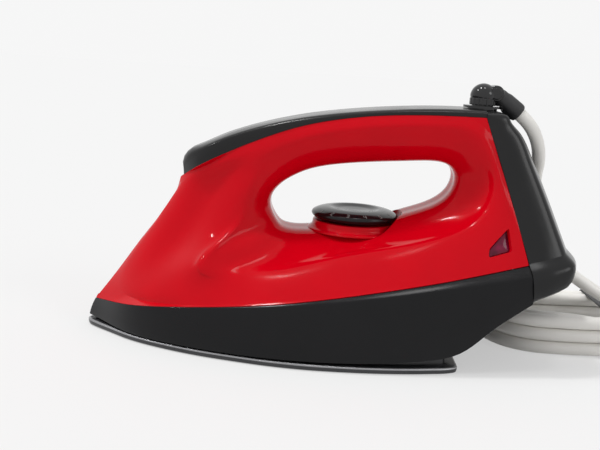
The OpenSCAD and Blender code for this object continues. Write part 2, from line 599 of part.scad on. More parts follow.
module adjusting_screw() {
    color("#c9a24a") translate([dial_x, 0, 0]) {
        translate([0, 0, nut_z - 2]) cylinder(r = screw_r, h = 14);
        translate([0, 0, frame_top + 4])
            cylinder(d = drive_af / cos(30), h = screw_top - frame_top - 4, $fn = 6);
        translate([0, 0, tip_z]) cylinder(r = screw_r - 0.6, h = nut_z - tip_z);
    }
}

// Thermostat on the casting, in front of and under the dial
module thermostat_frame() {
    color("#b8bcc0") difference() {
        union() {
            translate([thermostat_x - 6, -frame_w / 2, stack_z]) cube([12, frame_w, frame_t]);
            for (s = [-1, 1])
                translate([thermostat_x - 6, s * (frame_w / 2 - frame_t / 2) - frame_t / 2, stack_z])
                    cube([12, frame_t, frame_h]);
            translate([thermostat_x - 6, -frame_w / 2, frame_top - frame_t])
                cube([dial_x - thermostat_x + 6 + 6, frame_w, frame_t]);
            translate([dial_x, 0, nut_z]) cylinder(r = screw_r + 2, h = 6 - eps);
        }
        translate([dial_x, 0, 0]) cylinder(r = screw_r + 0.08, h = handle_h);
        translate([thermostat_x, 0, 0]) cylinder(r = rivet_r, h = stack_z + 8);
    }
}
module thermostat_rivet() {
    color("#c8ccd0") translate([thermostat_x, 0, sole_lip_t]) {
        cylinder(r = rivet_r, h = stack_top - sole_lip_t + eps);
        translate([0, 0, stack_top - sole_lip_t]) cylinder(r = rivet_r * 1.8, h = 1.2);
    }
}
module washer_at(z, h) {
    translate([thermostat_x, 0, z]) difference() {
        cylinder(r = washer_r, h = h);
        translate([0, 0, -1]) cylinder(r = rivet_r + 0.1, h = h + 2);
    }
}
module ceramic_washers() {
    color("#e8e0d0") {
        washer_at(bimetal_z + bimetal_t, lower_z - bimetal_z - bimetal_t);
        washer_at(lower_z + blade_t, upper_z - lower_z - blade_t);
        washer_at(upper_z + blade_t, stack_top - upper_z - blade_t);
    }
}
module blade_at(z, t, l, tail) {
    translate([thermostat_x, 0, z]) difference() {
        union() {
            translate([-tail, -blade_w / 2, 0]) cube([l + tail, blade_w, t]);
            cylinder(r = washer_r - 0.5, h = t);
        }
        translate([0, 0, -1]) cylinder(r = rivet_r + 0.1, h = t + 2);
    }
}
module bimetal_strip() {
    color("#9a8f7a") blade_at(bimetal_z, bimetal_t, blade_len - 2, 4);
}
module lower_contact_blade() {
    color("#c98f4a") blade_at(lower_z, blade_t, blade_len, blade_tail - 2);
}
module upper_contact_blade() {
    color("#c98f4a") blade_at(upper_z, blade_t, blade_len - 4, blade_tail);
}
contact_x = thermostat_x + blade_len - 6.5;
module contact_rivets() {
    color("#d8dade") translate([contact_x, 0, 0]) {
        mid = (lower_z + blade_t + upper_z) / 2;
        translate([0, 0, lower_z + blade_t]) cylinder(r = 1.6, h = mid - lower_z - blade_t - 0.05);
        translate([0, 0, mid + 0.05]) cylinder(r = 1.6, h = upper_z - mid - 0.05);
    }
}
fuse_y = 12;
module thermal_fuse() {
    color("#d8dade") translate([thermostat_x - 2, frame_w / 2 + fuse_y - 5, stack_z + 2]) rotate([0, 90, 0]) {
        cylinder(r = 2, h = 12);
        translate([0, 0, -4]) cylinder(r = 0.6, h = 20);
    }
}

// Terminal block on the deck at the rear
poles = [-1, 0, 1];
block_front = body_screw_xs[1] + boss_r + lead_d + 2;
block_rear = block_front + block_len;
block_z = deck_z + deck_t;
block_w = pole_w * len(poles);
wire_z = block_z + block_h / 2;
terminal_x = block_front + block_len / 2;
terminal_r = 1.7;
module terminal_block() {
    color("#e8e0d0") difference() {
        translate([block_front, -block_w / 2, block_z]) cube([block_len, block_w, block_h]);
        for (i = poles) {
            translate([block_front - 1, i * pole_w, wire_z]) rotate([0, 90, 0])
                cylinder(r = lead_d / 2 + 0.5, h = block_len + 2);
            translate([terminal_x, i * pole_w, wire_z]) cylinder(r = terminal_r, h = block_h);
        }
        translate([stud_xs[1], 0, 0]) cylinder(r = stud_r * 2 + 0.6, h = block_z + nut_h + 2.5);
    }
}
module terminal_screws() {
    color("#d0c070") for (i = poles)
        translate([terminal_x, i * pole_w, wire_z + lead_d / 2 + 0.1]) cylinder(r = terminal_r, h = 4);
}
module lead(points) {
    swept_tube(smooth(points, 4), lead_d / 2);
}
module live_lead() {
    color("#8a4b20") {
        lead([[block_front + 4, -pole_w, wire_z], [block_front - 4, -pole_w, wire_z],
            [block_front - 14, -pole_w - 3, wire_z - 1], [thermostat_x + 4, -frame_w / 2 - 5, wire_z - 2],
            [thermostat_x - 7, -frame_w / 2 - 1.5, wire_z - 3.5],
            [thermostat_x - blade_tail + 1, -4.5, upper_z + 3.4],
            [thermostat_x - blade_tail + 3, 0, upper_z + 2.4]]);
        lead([[block_rear - 4, -pole_w, wire_z], [block_rear + 5, -pole_w, wire_z + 1],
            [block_rear + 16, -pole_w + 3, wire_z + 12], [clamp_x - 2, -2.9, clamp_z - 9]]);
    }
}
module neutral_lead() {
    side = block_w / 2 + lead_d + 2;
    color("#3060b0") {
        lead([[block_front + 4, pole_w, wire_z], [block_front - 3, pole_w, wire_z],
            [block_front - 4.5, pole_w + 4, wire_z + 0.5], [block_front, side, wire_z],
            [heater_rear + 5, heater_arm_y - 3, wire_z - 3], [heater_rear + 8, heater_arm_y, wire_z - 8],
            [heater_rear + 8, heater_arm_y, stack_z + 3]]);
        lead([[block_rear - 4, pole_w, wire_z], [block_rear + 5, pole_w, wire_z + 1],
            [block_rear + 16, pole_w - 3, wire_z + 12], [clamp_x - 2, 2.9, clamp_z - 9]]);
    }
}
module earth_lead() {
    top_z = block_z + block_h;
    color("#5a9a3a") {
        lead([[block_front + 3, 0, wire_z], [block_front - 0.5, 0, wire_z + 0.3],
            [block_front - 2, -1, wire_z + 4], [block_front - 1, -3, top_z + 1.6],
            [block_front + 6, -5, top_z + 3.2], [block_rear, -5.6, top_z + 2.4],
            [block_rear + 4, -5.8, wire_z]]);
        lead([[block_rear - 4, 0, wire_z], [block_rear + 6, 0, wire_z + 1], [block_rear + 18, 0, wire_z + 12],
            [clamp_x - 1, 0, clamp_z - 9]]);
    }
}
module lamp_lead() {
    lamp_back = lens_c - lens_axis * (lamp_depth + lamp_len + 0.7);
    color("#d8d8d8") for (s = [-1, 1])
        swept_tube(smooth([[block_rear - 4, s * 1.5 - pole_w, block_z + block_h + 0.8],
            [block_rear + 3, s * 1.5 - pole_w * 1.2, block_z + block_h + 4],
            lamp_back - lens_axis * 6 + [s * 1.5, 0, -3], lamp_back + [s * 1.5, 0, 0]], 4), 0.6, 6);
}

// Indicator lamp behind its lens in the left flank
lamp_depth = 5 + lamp_d / 2;
lamp_len = 10;
module indicator_lamp() {
    color("#ffb070") at_lens() translate([0, 0, -lamp_depth]) {
        sphere(d = lamp_d);
        translate([0, 0, -lamp_len]) cylinder(d = lamp_d, h = lamp_len);
    }
}
module lamp_holder() {
    color("#f0f0f0") at_lens() translate([0, 0, -4 - lamp_d]) difference() {
        translate([0, 0, -6]) cylinder(r = lamp_d / 2 + 1.5, h = 7);
        translate([0, 0, -8]) cylinder(r = lamp_d / 2 + 0.1, h = 12);
    }
}
module lamp_lens() {
    color("#7a1030") at_lens() translate([0, 0, -lens_sunk - lens_t]) lens_prism(lens_side, lens_t);
}

// Clamp that grips the cord inside the rear of the body
clamp_x = 84 * kx;
clamp_z = 62 * kz;
grip_gap = 0.1;
module cord_clamp() {
    color("#e8e0d0") difference() {
        translate([clamp_x - 5, -11, clamp_z - 4]) cube([10, 22, 8]);
        translate([clamp_x, 0, clamp_z - 10]) cylinder(r = cord_d / 2 + grip_gap, h = 30);
        for (s = [-1, 1])
            translate([clamp_x - 10, s * 7.5, clamp_z]) rotate([0, 90, 0]) cylinder(r = 1.5, h = 30);
    }
}
module clamp_screws() {
    color("#c8ccd0") for (s = [-1, 1])
        translate([clamp_x - 9, s * 7.5, clamp_z]) rotate([0, 90, 0]) {
            cylinder(r = 1.5, h = 14);
            translate([0, 0, 14]) cylinder(r = 2.6, h = 1.6);
        }
}
module inner_cord() {
    color("#eceae4") {
        swept_tube(smooth([[swivel_x + 1, 0, stem_low - 0.5], [swivel_x + 3, 0, stem_low - 12],
            [clamp_x - 1, 0, rear_screw_z + 12], [clamp_x, 7.6, rear_screw_z + 2],
            [clamp_x, 7.4, rear_screw_z - 6], [clamp_x, 1, clamp_z + 11], [clamp_x, 0, clamp_z + 6],
            [clamp_x, 0, clamp_z + 1], [clamp_x, 0, clamp_z - 8]], 3), cord_d / 2, 10);
    }
}

// Cord swivel: a fixed collar between cap and cover, and a turret that turns in it
swivel_x = 71.5 * kx;
dome_z = handle_h + 5.9;
knuckle = [swivel_x + 5.6, 0, handle_h + 7.9];
stem_low = handle_h - 11;
flange_stem_r = stem_r + 2.2;
flange_t = 1.5;
flange_lift = 0.45;
turn_gap = 0.3;
stem_clear = 0.08;
module swivel_collar() {
    color("#202022") translate([swivel_x, 0, 0]) difference() {
        union() {
            translate([0, 0, handle_h + flange_lift]) cylinder(r = flange_r, h = flange_t - flange_lift);
            translate([0, 0, handle_h - 9]) cylinder(r = flange_stem_r - 0.1, h = 9 + flange_t / 2);
        }
        translate([0, 0, handle_h - 20]) cylinder(r = stem_r + stem_clear, h = 40);
    }
}
module guard_axis() {
    translate(knuckle) rotate([0, 90 + guard_pitch, 0]) children();
}
turret_base = handle_h + flange_t + turn_gap;
// Outer form of the turret, grown by a gap
module turret_form(gap) {
    translate([swivel_x, 0, turret_base]) cylinder(r = turret_r + gap, h = dome_z - turret_base);
    translate([swivel_x, 0, dome_z]) sphere(r = turret_r + gap);
    translate(knuckle) rotate([90, 0, 0])
        cylinder(r = knuckle_r + gap, h = 2 * guard_r + 0.6 + 2 * gap, center = true);
}
module cord_swivel() {
    color("#1c1c1f") difference() {
        union() {
            turret_form(0);
            translate([swivel_x, 0, stem_low]) cylinder(r = stem_r, h = turret_base - stem_low + eps);
            translate([swivel_x, 0, stem_low]) cylinder(r = stem_r + 1.6, h = 1.6);
        }
        translate([swivel_x, 0, stem_low - 1]) cylinder(r = cord_d / 2 + 0.1, h = dome_z - stem_low);
        guard_axis() translate([0, 0, -3]) cylinder(r = cord_d / 2 - 0.4, h = 12);
    }
}
module cord_guard() {
    color("#161617") difference() {
        guard_axis() rotate_extrude() polygon([[0, 0], [guard_r - 0.6, 0], [guard_r - 0.4, 5], [guard_r, 7],
            [guard_r, guard_len - 2], [guard_r - 0.8, guard_len], [0, guard_len]]);
        guard_axis() translate([0, 0, -1]) cylinder(r = cord_d / 2 - 0.3, h = guard_len + 2);
        turret_form(0.05);
        translate([swivel_x, 0, handle_h - 1]) cylinder(r = flange_r + turn_gap, h = flange_t + turn_gap + 1);
    }
}

// Route of the free cord from the guard down behind the heel to the hank on the table
guard_way = [cos(guard_pitch), 0, -sin(guard_pitch)];
guard_end = knuckle + guard_len * guard_way;
cord_points = [[97.4, 1.2, 114.6], [101.6, 4.1, 107.6], [104.5, 9.6, 98.4], [105.7, 17, 89.6],
    [107.5, 24.1, 81.5], [109.6, 30.2, 73.3], [112.3, 34.6, 65], [116, 37.1, 56.6], [120.8, 36.9, 48.7],
    [126.8, 33.6, 41.5], [133.7, 27.6, 35.6], [141.6, 19.9, 30.9], [150, 11.5, 27], [160, 6, 25.3],
    [170, 3.4, 24.8]];
cord_path = concat([guard_end + guard_way * 0.12, guard_end + guard_way * 1.5], cord_points);
tie_t = 0.8;
hank_c = [151, 23];
hank_run = 72;
hank_r = 4.5 * cord_d;
hank_h = 3 * cord_d;
tail_points = [[176, -11.4, 16.5], [188, -11.4, 14.5], [200, -9, 12], [211.4, -1.5, 9.5], [218.2, 8, 7.5],
    [221.6, 22, 5.8], [218.4, 38, 4.6], [210.7, 48, 4.2], [200, 54.9, 4.2], [188, 57.5, 4.2],
    [176, 57.9, 4.3], [165, 60, 6], [156, 62.8, 8.8], [148, 64.9, 10.9], [140.1, 65.7, 11.6]];
plug_x = 140;
plug_y = 65.7;
plug_len = 34;
plug_r = 11.5;
plug_z = plug_r + 0.1;
pin_len = 18;
pin_gap = 10;
module power_cord() {
    color("#eceae4") swept_tube(smooth(cord_path, 3), cord_d / 2, 8);
}
module cord_hank() {
    color("#eceae4") translate([hank_c[0], hank_c[1], tie_t]) linear_extrude(hank_h) {
        square([hank_run, 2 * hank_r], center = true);
        for (s = [-1, 1])
            translate([s * hank_run / 2, 0]) circle(r = hank_r);
    }
}
module hank_tie() {
    w = 2 * hank_r;
    color("#202020") translate([hank_c[0] - 4, hank_c[1] - hank_r, tie_t]) difference() {
        translate([0, -tie_t, -tie_t]) cube([8, w + 2 * tie_t, hank_h + 2 * tie_t]);
        translate([-1, -0.05, -0.05]) cube([10, w + 0.1, hank_h + 0.1]);
    }
}
module plug_tail() {
    color("#eceae4") swept_tube(smooth(tail_points, 3), cord_d / 2, 8);
}
module plug_body() {
    color("#eceae4") translate([plug_x, plug_y, plug_z]) rotate([0, -90, 0]) rotate_extrude()
        polygon([[0, 0], [cord_d / 2 + 0.8, 0], [cord_d / 2 + 1.6, 10], [plug_r - 2, 16],
            [plug_r, 19], [plug_r, plug_len - 1], [plug_r - 1, plug_len], [0, plug_len]]);
}
module plug_pins() {
    color("#d8c070") translate([plug_x - plug_len, plug_y, plug_z]) rotate([0, -90, 0]) {
        for (s = [-1, 1])
            translate([-3, s * pin_gap * 0.75, 0]) pin(2.4, pin_len - 3);
        translate([5.5, 0, 0]) pin(3, pin_len);
    }
}
module pin(r, l) {
    rotate_extrude() polygon([[0, 0], [r, 0], [r, l - 1], [r - 1, l], [0, l]]);
}

soleplate();
heating_element();
element_terminals();
heat_shield();
sole_studs();
stud_spacers();
stud_nuts();
skirt();
body_shell();
body_screws();
handle_cap();
rear_cover();
rear_cover_screw();
temperature_dial();
dial_retainer();
adjusting_screw();
thermostat_frame();
thermostat_rivet();
ceramic_washers();
bimetal_strip();
lower_contact_blade();
upper_contact_blade();
contact_rivets();
thermal_fuse();
terminal_block();
terminal_screws();
live_lead();
neutral_lead();
earth_lead();
lamp_lead();
indicator_lamp();
lamp_holder();
lamp_lens();
cord_clamp();
clamp_screws();
inner_cord();
swivel_collar();
cord_swivel();
cord_guard();
power_cord();
cord_hank();
hank_tie();
plug_tail();
plug_body();
plug_pins();
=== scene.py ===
import json
from math import cos, exp, pi, radians, sin

import bmesh
import bpy
from mathutils import Matrix, Vector


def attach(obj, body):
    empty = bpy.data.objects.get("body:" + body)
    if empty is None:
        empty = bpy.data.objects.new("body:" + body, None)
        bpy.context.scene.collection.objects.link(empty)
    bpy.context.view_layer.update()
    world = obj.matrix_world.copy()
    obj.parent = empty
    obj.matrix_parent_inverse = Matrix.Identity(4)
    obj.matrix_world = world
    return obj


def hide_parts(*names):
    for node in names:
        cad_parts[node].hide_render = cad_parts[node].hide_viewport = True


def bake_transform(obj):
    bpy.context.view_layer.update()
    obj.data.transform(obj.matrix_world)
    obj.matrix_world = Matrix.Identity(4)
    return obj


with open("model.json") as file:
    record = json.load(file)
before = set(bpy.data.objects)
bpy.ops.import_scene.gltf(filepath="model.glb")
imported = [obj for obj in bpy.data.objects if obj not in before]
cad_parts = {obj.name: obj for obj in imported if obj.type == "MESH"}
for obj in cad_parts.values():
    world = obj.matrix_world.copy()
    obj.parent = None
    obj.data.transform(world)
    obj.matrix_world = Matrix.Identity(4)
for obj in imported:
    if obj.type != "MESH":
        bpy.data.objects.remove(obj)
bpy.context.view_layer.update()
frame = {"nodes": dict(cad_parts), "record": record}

bpy.context.scene.view_settings.view_transform = "Standard"

# All sizes below are millimetres in the part's frame, with X to the heel and Z up, and each is turned into metres
# when a mesh is made. FINE is the number of steps between two points of a table.
MM = 0.001
FINE = 6


def vec(x, y, z):
    return Vector((x, y, z))


def mix(a, b, t):
    return a + (b - a) * t


def clamp(x, low=0.0, high=1.0):
    return max(low, min(high, x))


def ease(t):
    """A soft step from 0 to 1."""
    t = clamp(t)
    return t * t * (3 - 2 * t)


def mirrored(p):
    """The same point on the other side of the middle plane."""
    return vec(p.x, -p.y, p.z)


def add_object(name, data):
    """A new object in the scene."""
    thing = bpy.data.objects.new(name, data)
    bpy.context.collection.objects.link(thing)
    return thing


# Camera at the photograph's viewing angle; the far clip is in metres
CAMERA_AT = vec(-15.26, -471.96, 145.73)
CAMERA_LENS, SENSOR_W, FAR_CLIP = 56.45, 36, 30
CAMERA_PITCH, CAMERA_ROLL = 10.5, 3.7


def make_camera():
    """The camera, looking along Y, pitched down and rolled."""
    pitch, roll = radians(CAMERA_PITCH), radians(CAMERA_ROLL)
    back = vec(0, -cos(pitch), sin(pitch))
    level = vec(1, 0, 0)
    above = back.cross(level)
    right = level * cos(roll) + above * sin(roll)
    up = above * cos(roll) - level * sin(roll)
    data = bpy.data.cameras.new("camera")
    data.lens = CAMERA_LENS
    data.sensor_width = SENSOR_W
    data.sensor_fit = "HORIZONTAL"
    data.clip_end = FAR_CLIP
    camera = add_object("camera", data)
    facing = Matrix((right, up, back)).transposed().to_4x4()
    camera.matrix_world = Matrix.Translation(CAMERA_AT * MM) @ facing
    bpy.context.scene.camera = camera


make_camera()


# Smooth curves through points that may be unevenly spaced, as in the part's source
def slope(a, b, c):
    """The curve's way at b, weighted to the nearer neighbour."""
    u, v = max(0.01, (b - a).length), max(0.01, (c - b).length)
    if u < 0.011:
        return (c - b) / v
    if v < 0.011:
        return (b - a) / u
    return ((b - a) / u * v + (c - b) / v * u) / (u + v)


def between(a, b, m, n, t):
    """The cubic from a to b that leaves along m and arrives along n."""
    start = a * (2 * t**3 - 3 * t * t + 1) + m * (t**3 - 2 * t * t + t)
    return start + b * (3 * t * t - 2 * t**3) + n * (t**3 - t * t)


def smooth(points, steps=FINE, loop=False):
    """A smooth line through all the points."""
    count = len(points)
    spans = count if loop else count - 1

    def at(i):
        return points[i % count] if loop else points[max(0, min(count - 1, i))]

    line = []
    for i in range(spans):
        a, b = at(i), at(i + 1)
        reach = (b - a).length
        m = slope(at(i - 1), a, b) * reach
        n = slope(a, b, at(i + 2)) * reach
        line += [between(a, b, m, n, s / steps) for s in range(steps)]
    return line if loop else line + [points[-1].copy()]


def rail(rows):
    """A table of coordinates as points."""
    return [vec(*row) for row in rows]


# Materials, each with its own grain, colour change and roughness change. Noise mostly stays within NOISE_SPAN.
NOISE_SPAN = (0.3, 0.7)
GRAIN_HEIGHT, COARSE = 0.0002, 0.1
COAT_ROUGH, GLOW = 0.04, 0.25


def set_inputs(node, values):
    """Sets the inputs of a shader node."""
    for socket, value in values.items():
        node.inputs[socket].default_value = value


def finish(name, colour, rough, *, vary=0.12, spread=0.05, grain=900, patch=45, bump=0.03, metal=0.0, coat=0.0,
           gloss=0.5, stretch=(1, 1, 1), see_through=0.0, glow=None):
    """A material whose colour varies by a share and whose roughness varies by an amount. grain and patch are the
    frequencies of its fine and its broad noise, and a coarse grain also carries the colour."""
    material = bpy.data.materials.new(name)
    material.use_nodes = True
    nodes, links = material.node_tree.nodes, material.node_tree.links
    shader = nodes["Principled BSDF"]
    place = nodes.new("ShaderNodeTexCoord")
    scale = nodes.new("ShaderNodeMapping")
    set_inputs(scale, {"Scale": stretch})
    links.new(place.outputs["Object"], scale.inputs["Vector"])

    def noise(size, detail):
        node = nodes.new("ShaderNodeTexNoise")
        set_inputs(node, {"Scale": size, "Detail": detail})
        links.new(scale.outputs["Vector"], node.inputs["Vector"])
        return node.outputs["Fac"]

    fine, broad = noise(grain, 3), noise(patch, 4)
    colours = nodes.new("ShaderNodeValToRGB")
    low, high = colours.color_ramp.elements
    low.position, high.position = NOISE_SPAN
    low.color = [c * (1 - vary) for c in colour] + [1]
    high.color = [min(1, c * (1 + vary)) for c in colour] + [1]
    links.new(fine if bump > COARSE else broad, colours.inputs["Fac"])
    links.new(colours.outputs["Color"], shader.inputs["Base Color"])
    shine = nodes.new("ShaderNodeMapRange")
    set_inputs(shine, {"From Min": NOISE_SPAN[0], "From Max": NOISE_SPAN[1], "To Min": clamp(rough - spread),
                       "To Max": clamp(rough + spread)})
    links.new(broad, shine.inputs["Value"])
    links.new(shine.outputs["Result"], shader.inputs["Roughness"])
    relief = nodes.new("ShaderNodeBump")
    set_inputs(relief, {"Strength": clamp(bump * 5), "Distance": GRAIN_HEIGHT})
    links.new(fine, relief.inputs["Height"])
    links.new(relief.outputs["Normal"], shader.inputs["Normal"])
    set_inputs(shader, {"Metallic": metal, "Coat Weight": coat, "Coat Roughness": COAT_ROUGH,
                        "Specular IOR Level": gloss, "Transmission Weight": see_through})
    if glow:
        set_inputs(shader, {"Emission Color": (*glow, 1), "Emission Strength": GLOW})
    return material


RED = finish("red gloss", (0.60, 0.0002, 0.0075), 0.1, vary=0.04, spread=0.02, grain=500, bump=0.003, gloss=0.11)
CAP = finish("black moulded gloss", (0.011, 0.011, 0.0115), 0.2, vary=0.1, spread=0.04, grain=2200, bump=0.012,
             gloss=0.25)
SKIRT = finish("black satin gloss", (0.006, 0.006, 0.007), 0.18, grain=1800, bump=0.012, gloss=0.2)
DIAL = finish("black gloss", (0.006, 0.006, 0.007), 0.15, vary=0.15, grain=1500, bump=0.012, gloss=0.25)
BLACK = finish("black moulding", (0.008, 0.008, 0.009), 0.13, vary=0.15, spread=0.04, grain=1700, bump=0.01)
RUBBER = finish("black rubber", (0.017, 0.017, 0.018), 0.55, vary=0.15, spread=0.08, grain=2600, bump=0.06)
CORD = finish("off white cord", (0.9, 0.88, 0.84), 0.42, vary=0.03, spread=0.07, grain=1500, coat=0.1)
WHITE = finish("white moulding", (0.78, 0.78, 0.75), 0.38, vary=0.03, spread=0.06, grain=1300, bump=0.02)
SOLE = finish("coated casting", (0.030, 0.030, 0.033), 0.34, vary=0.25, spread=0.09, grain=2200, bump=0.05)
EDGE = finish("bare casting", (0.30, 0.30, 0.31), 0.34, vary=0.08, spread=0.08, grain=2600, bump=0.04, metal=0.9)
STEEL = finish("zinc plated steel", (0.62, 0.63, 0.64), 0.28, vary=0.08, spread=0.08, grain=1600, metal=1)
PLATE = finish("aluminium sheet", (0.64, 0.65, 0.67), 0.36, vary=0.06, spread=0.08, metal=1, stretch=(1, 14, 1))
TUBE = finish("heat tinted tube", (0.20, 0.17, 0.15), 0.45, vary=0.2, spread=0.1, bump=0.04, metal=0.8)
BRASS = finish("brass", (0.66, 0.45, 0.16), 0.28, vary=0.1, spread=0.08, grain=1400, metal=1)
COPPER = finish("spring bronze", (0.62, 0.33, 0.16), 0.3, vary=0.1, spread=0.08, grain=1400, metal=1)
CERAMIC = finish("unglazed ceramic", (0.74, 0.68, 0.56), 0.7, vary=0.06, spread=0.08, grain=1800, bump=0.12)
BROWN = finish("brown insulation", (0.12, 0.035, 0.012), 0.45)
BLUE = finish("blue insulation", (0.02, 0.07, 0.34), 0.45)
GREEN = finish("green insulation", (0.10, 0.28, 0.04), 0.45)
PALE = finish("pale insulation", (0.66, 0.66, 0.64), 0.4, vary=0.04, bump=0.02)
NEON = finish("neon glass", (0.90, 0.46, 0.24), 0.08, vary=0.05, spread=0.02, bump=0.002, see_through=0.6,
              glow=(1, 0.35, 0.1))
LENS = finish("dark red lens", (0.15, 0.004, 0.03), 0.1, vary=0.5, spread=0.03, grain=700, patch=190, bump=0.004,
              gloss=0.25)
MARK = finish("grey paint", (0.17, 0.17, 0.165), 0.45, vary=0.05, grain=1500)


# Meshes
def piece(name, points, faces, material, body, slot, replaces=(), sharp=34, kinds=None):
    """A visible piece. kinds picks one of several materials for each face."""
    mesh = bpy.data.meshes.new(name)
    mesh.from_pydata([tuple(p * MM) for p in points], [], faces)
    mesh.validate()
    for one in material if isinstance(material, list) else [material]:
        mesh.materials.append(one)
    if kinds:
        mesh.polygons.foreach_set("material_index", kinds)
    thing = add_object(name, mesh)
    shade(mesh, sharp)
    if replaces:
        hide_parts(*replaces)
    if body:
        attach(thing, body)
    return thing


def shade(mesh, sharp):
    """Smooth shading, with edges over the given angle kept sharp."""
    mesh.polygons.foreach_set("use_smooth", [True] * len(mesh.polygons))
    mesh.set_sharp_from_angle(angle=radians(sharp))
    mesh.update()


def joined(*parts):
    """Several closed shapes as one mesh."""
    points, faces = [], []
    for more_points, more_faces in parts:
        start = len(points)
        points += more_points
        faces += [[i + start for i in face] for face in more_faces]
    return points, faces


def bands(rings, count, flip=False):
    """The quads between rings of points that follow each other, with count points in each."""
    faces = []
    for k in range(rings - 1):
        for s in range(count):
            a, b = (s + 1) % count if flip else s, s if flip else (s + 1) % count
            faces.append([k * count + a, k * count + b, (k + 1) * count + b, (k + 1) * count + a])
    return faces


def closed(rings, count, flip=False):
    """All faces of a solid made of rings of points, with its two flat ends."""
    ends = [[s for s in reversed(range(count))], [(rings - 1) * count + s for s in range(count)]]
    return bands(rings, count, flip) + ([end[::-1] for end in ends] if flip else ends)


def skins(rows, cols, spot):
    """The faces of an outer grid of points and of an inner one, turned away from each other."""
    faces = []
    for i in range(rows):
        for j in range(cols - 1):
            quad = [(i, j), (i, j + 1), (i + 1, j + 1), (i + 1, j)]
            faces.append([spot(*q, 0) for q in quad])
            faces.append([spot(*q, 1) for q in reversed(quad)])
    return faces


def sheet(outer, inner):
    """A solid between an outer and an inner grid; its outer side faces along a row crossed with down a column."""
    rows, cols = len(outer), len(outer[0])
    points = [p for grid in (outer, inner) for row in grid for p in row]

    def spot(i, j, layer):
        return layer * rows * cols + i * cols + j

    faces = skins(rows - 1, cols, spot)
    rim = [(i, 0) for i in range(rows)] + [(rows - 1, j) for j in range(1, cols)]
    rim += [(i, cols - 1) for i in range(rows - 2, -1, -1)] + [(0, j) for j in range(cols - 2, 0, -1)]
    for a, b in zip(rim, rim[1:] + rim[:1]):
        faces.append([spot(*a, 0), spot(*b, 0), spot(*b, 1), spot(*a, 1)])
    return points, faces


def grid_normal(grid, i, j):
    """The surface's inward way at a point of a grid."""
    rows, cols = len(grid), len(grid[0])
    u = grid[min(rows - 1, i + 1)][j] - grid[max(0, i - 1)][j]
    v = grid[i][min(cols - 1, j + 1)] - grid[i][max(0, j - 1)]
    return u.cross(v).normalized()


def thickened(grid, wall):
    """The grid's inner face, a wall's thickness inside."""
    return [[p + grid_normal(grid, i, j) * wall for j, p in enumerate(row)] for i, row in enumerate(grid)]


def lathe(profile, sides=64, place=None, ripple=None):
    """Turns (radius, height) points round Z, from the axis at the bottom out, up and back to the axis.
    ripple(angle, radius, height) is added to the radius."""
    place = place or Matrix.Identity(4)
    points = []
    rings = profile[1:-1]
    for radius, height in rings:
        for s in range(sides):
            angle = 2 * pi * s / sides
            r = radius + (ripple(angle, radius, height) if ripple else 0)
            points.append(place @ vec(r * cos(angle), r * sin(angle), height))
    faces = bands(len(rings), sides)
    points += [place @ vec(0, 0, profile[0][1]), place @ vec(0, 0, profile[-1][1])]
    last = (len(rings) - 1) * sides
    for s in range(sides):
        t = (s + 1) % sides
        faces.append([t, s, len(points) - 2])
        faces.append([last + s, last + t, len(points) - 1])
    return points, faces


def tube(path, radius, sides=16):
    """A closed tube along a path, without twist."""
    points = []
    count = len(path)
    side = vec(0.3, 1, 0.2)
    for i, centre in enumerate(path):
        along = (path[min(count - 1, i + 1)] - path[max(0, i - 1)]).normalized()
        side = (side - along * side.dot(along)).normalized()
        other = along.cross(side)
        for k in range(sides):
            angle = 2 * pi * k / sides
            points.append(centre + side * (radius * cos(angle)) + other * (radius * sin(angle)))
    return points, closed(count, sides)


def rounded(profile, radius, steps=3):
    """A polyline with its inner corners rounded, each by at most the radius."""
    line = [profile[0]]
    for before, corner, after in zip(profile, profile[1:], profile[2:]):
        reach = min(radius, 0.45 * (corner - before).length, 0.45 * (after - corner).length)
        a = corner + (before - corner).normalized() * reach
        b = corner + (after - corner).normalized() * reach
        line += [mix(mix(a, corner, t), mix(corner, b, t), t) for t in [k / steps for k in range(steps + 1)]]
    return line + [profile[-1]]


def rounded_profile(profile, radius, steps=3):
    """The same for a lathe's (radius, height) points."""
    line = rounded([vec(r, 0, h) for r, h in profile], radius, steps)
    return [(p.x, p.z) for p in line]


def prism(outline, low, high):
    """An upright solid on a plan outline."""
    return [vec(x, y, z) for z in (low, high) for x, y in outline], closed(2, len(outline))


def cut(thing, points, faces, sharp=34):
    """Takes a closed shape out of a piece."""
    mesh = bpy.data.meshes.new("cutter")
    mesh.from_pydata([tuple(p * MM) for p in points], [], faces)
    cutter = add_object("cutter", mesh)
    work = thing.modifiers.new("cut", "BOOLEAN")
    work.operation = "DIFFERENCE"
    work.solver = "EXACT"
    work.object = cutter
    bpy.context.view_layer.update()
    shown = thing.evaluated_get(bpy.context.evaluated_depsgraph_get())
    result = bpy.data.meshes.new_from_object(shown)
    thing.modifiers.clear()
    thing.data = result
    bpy.data.objects.remove(cutter)
    shade(result, sharp)


def turned(origin, z_way, x_way):
    """A place at the origin whose Z runs along z_way, with its X as near x_way as it can be."""
    z = z_way.normalized()
    x = (x_way - z * x_way.dot(z)).normalized()
    return Matrix.Translation(origin) @ Matrix((x, z.cross(x), z)).transposed().to_4x4()


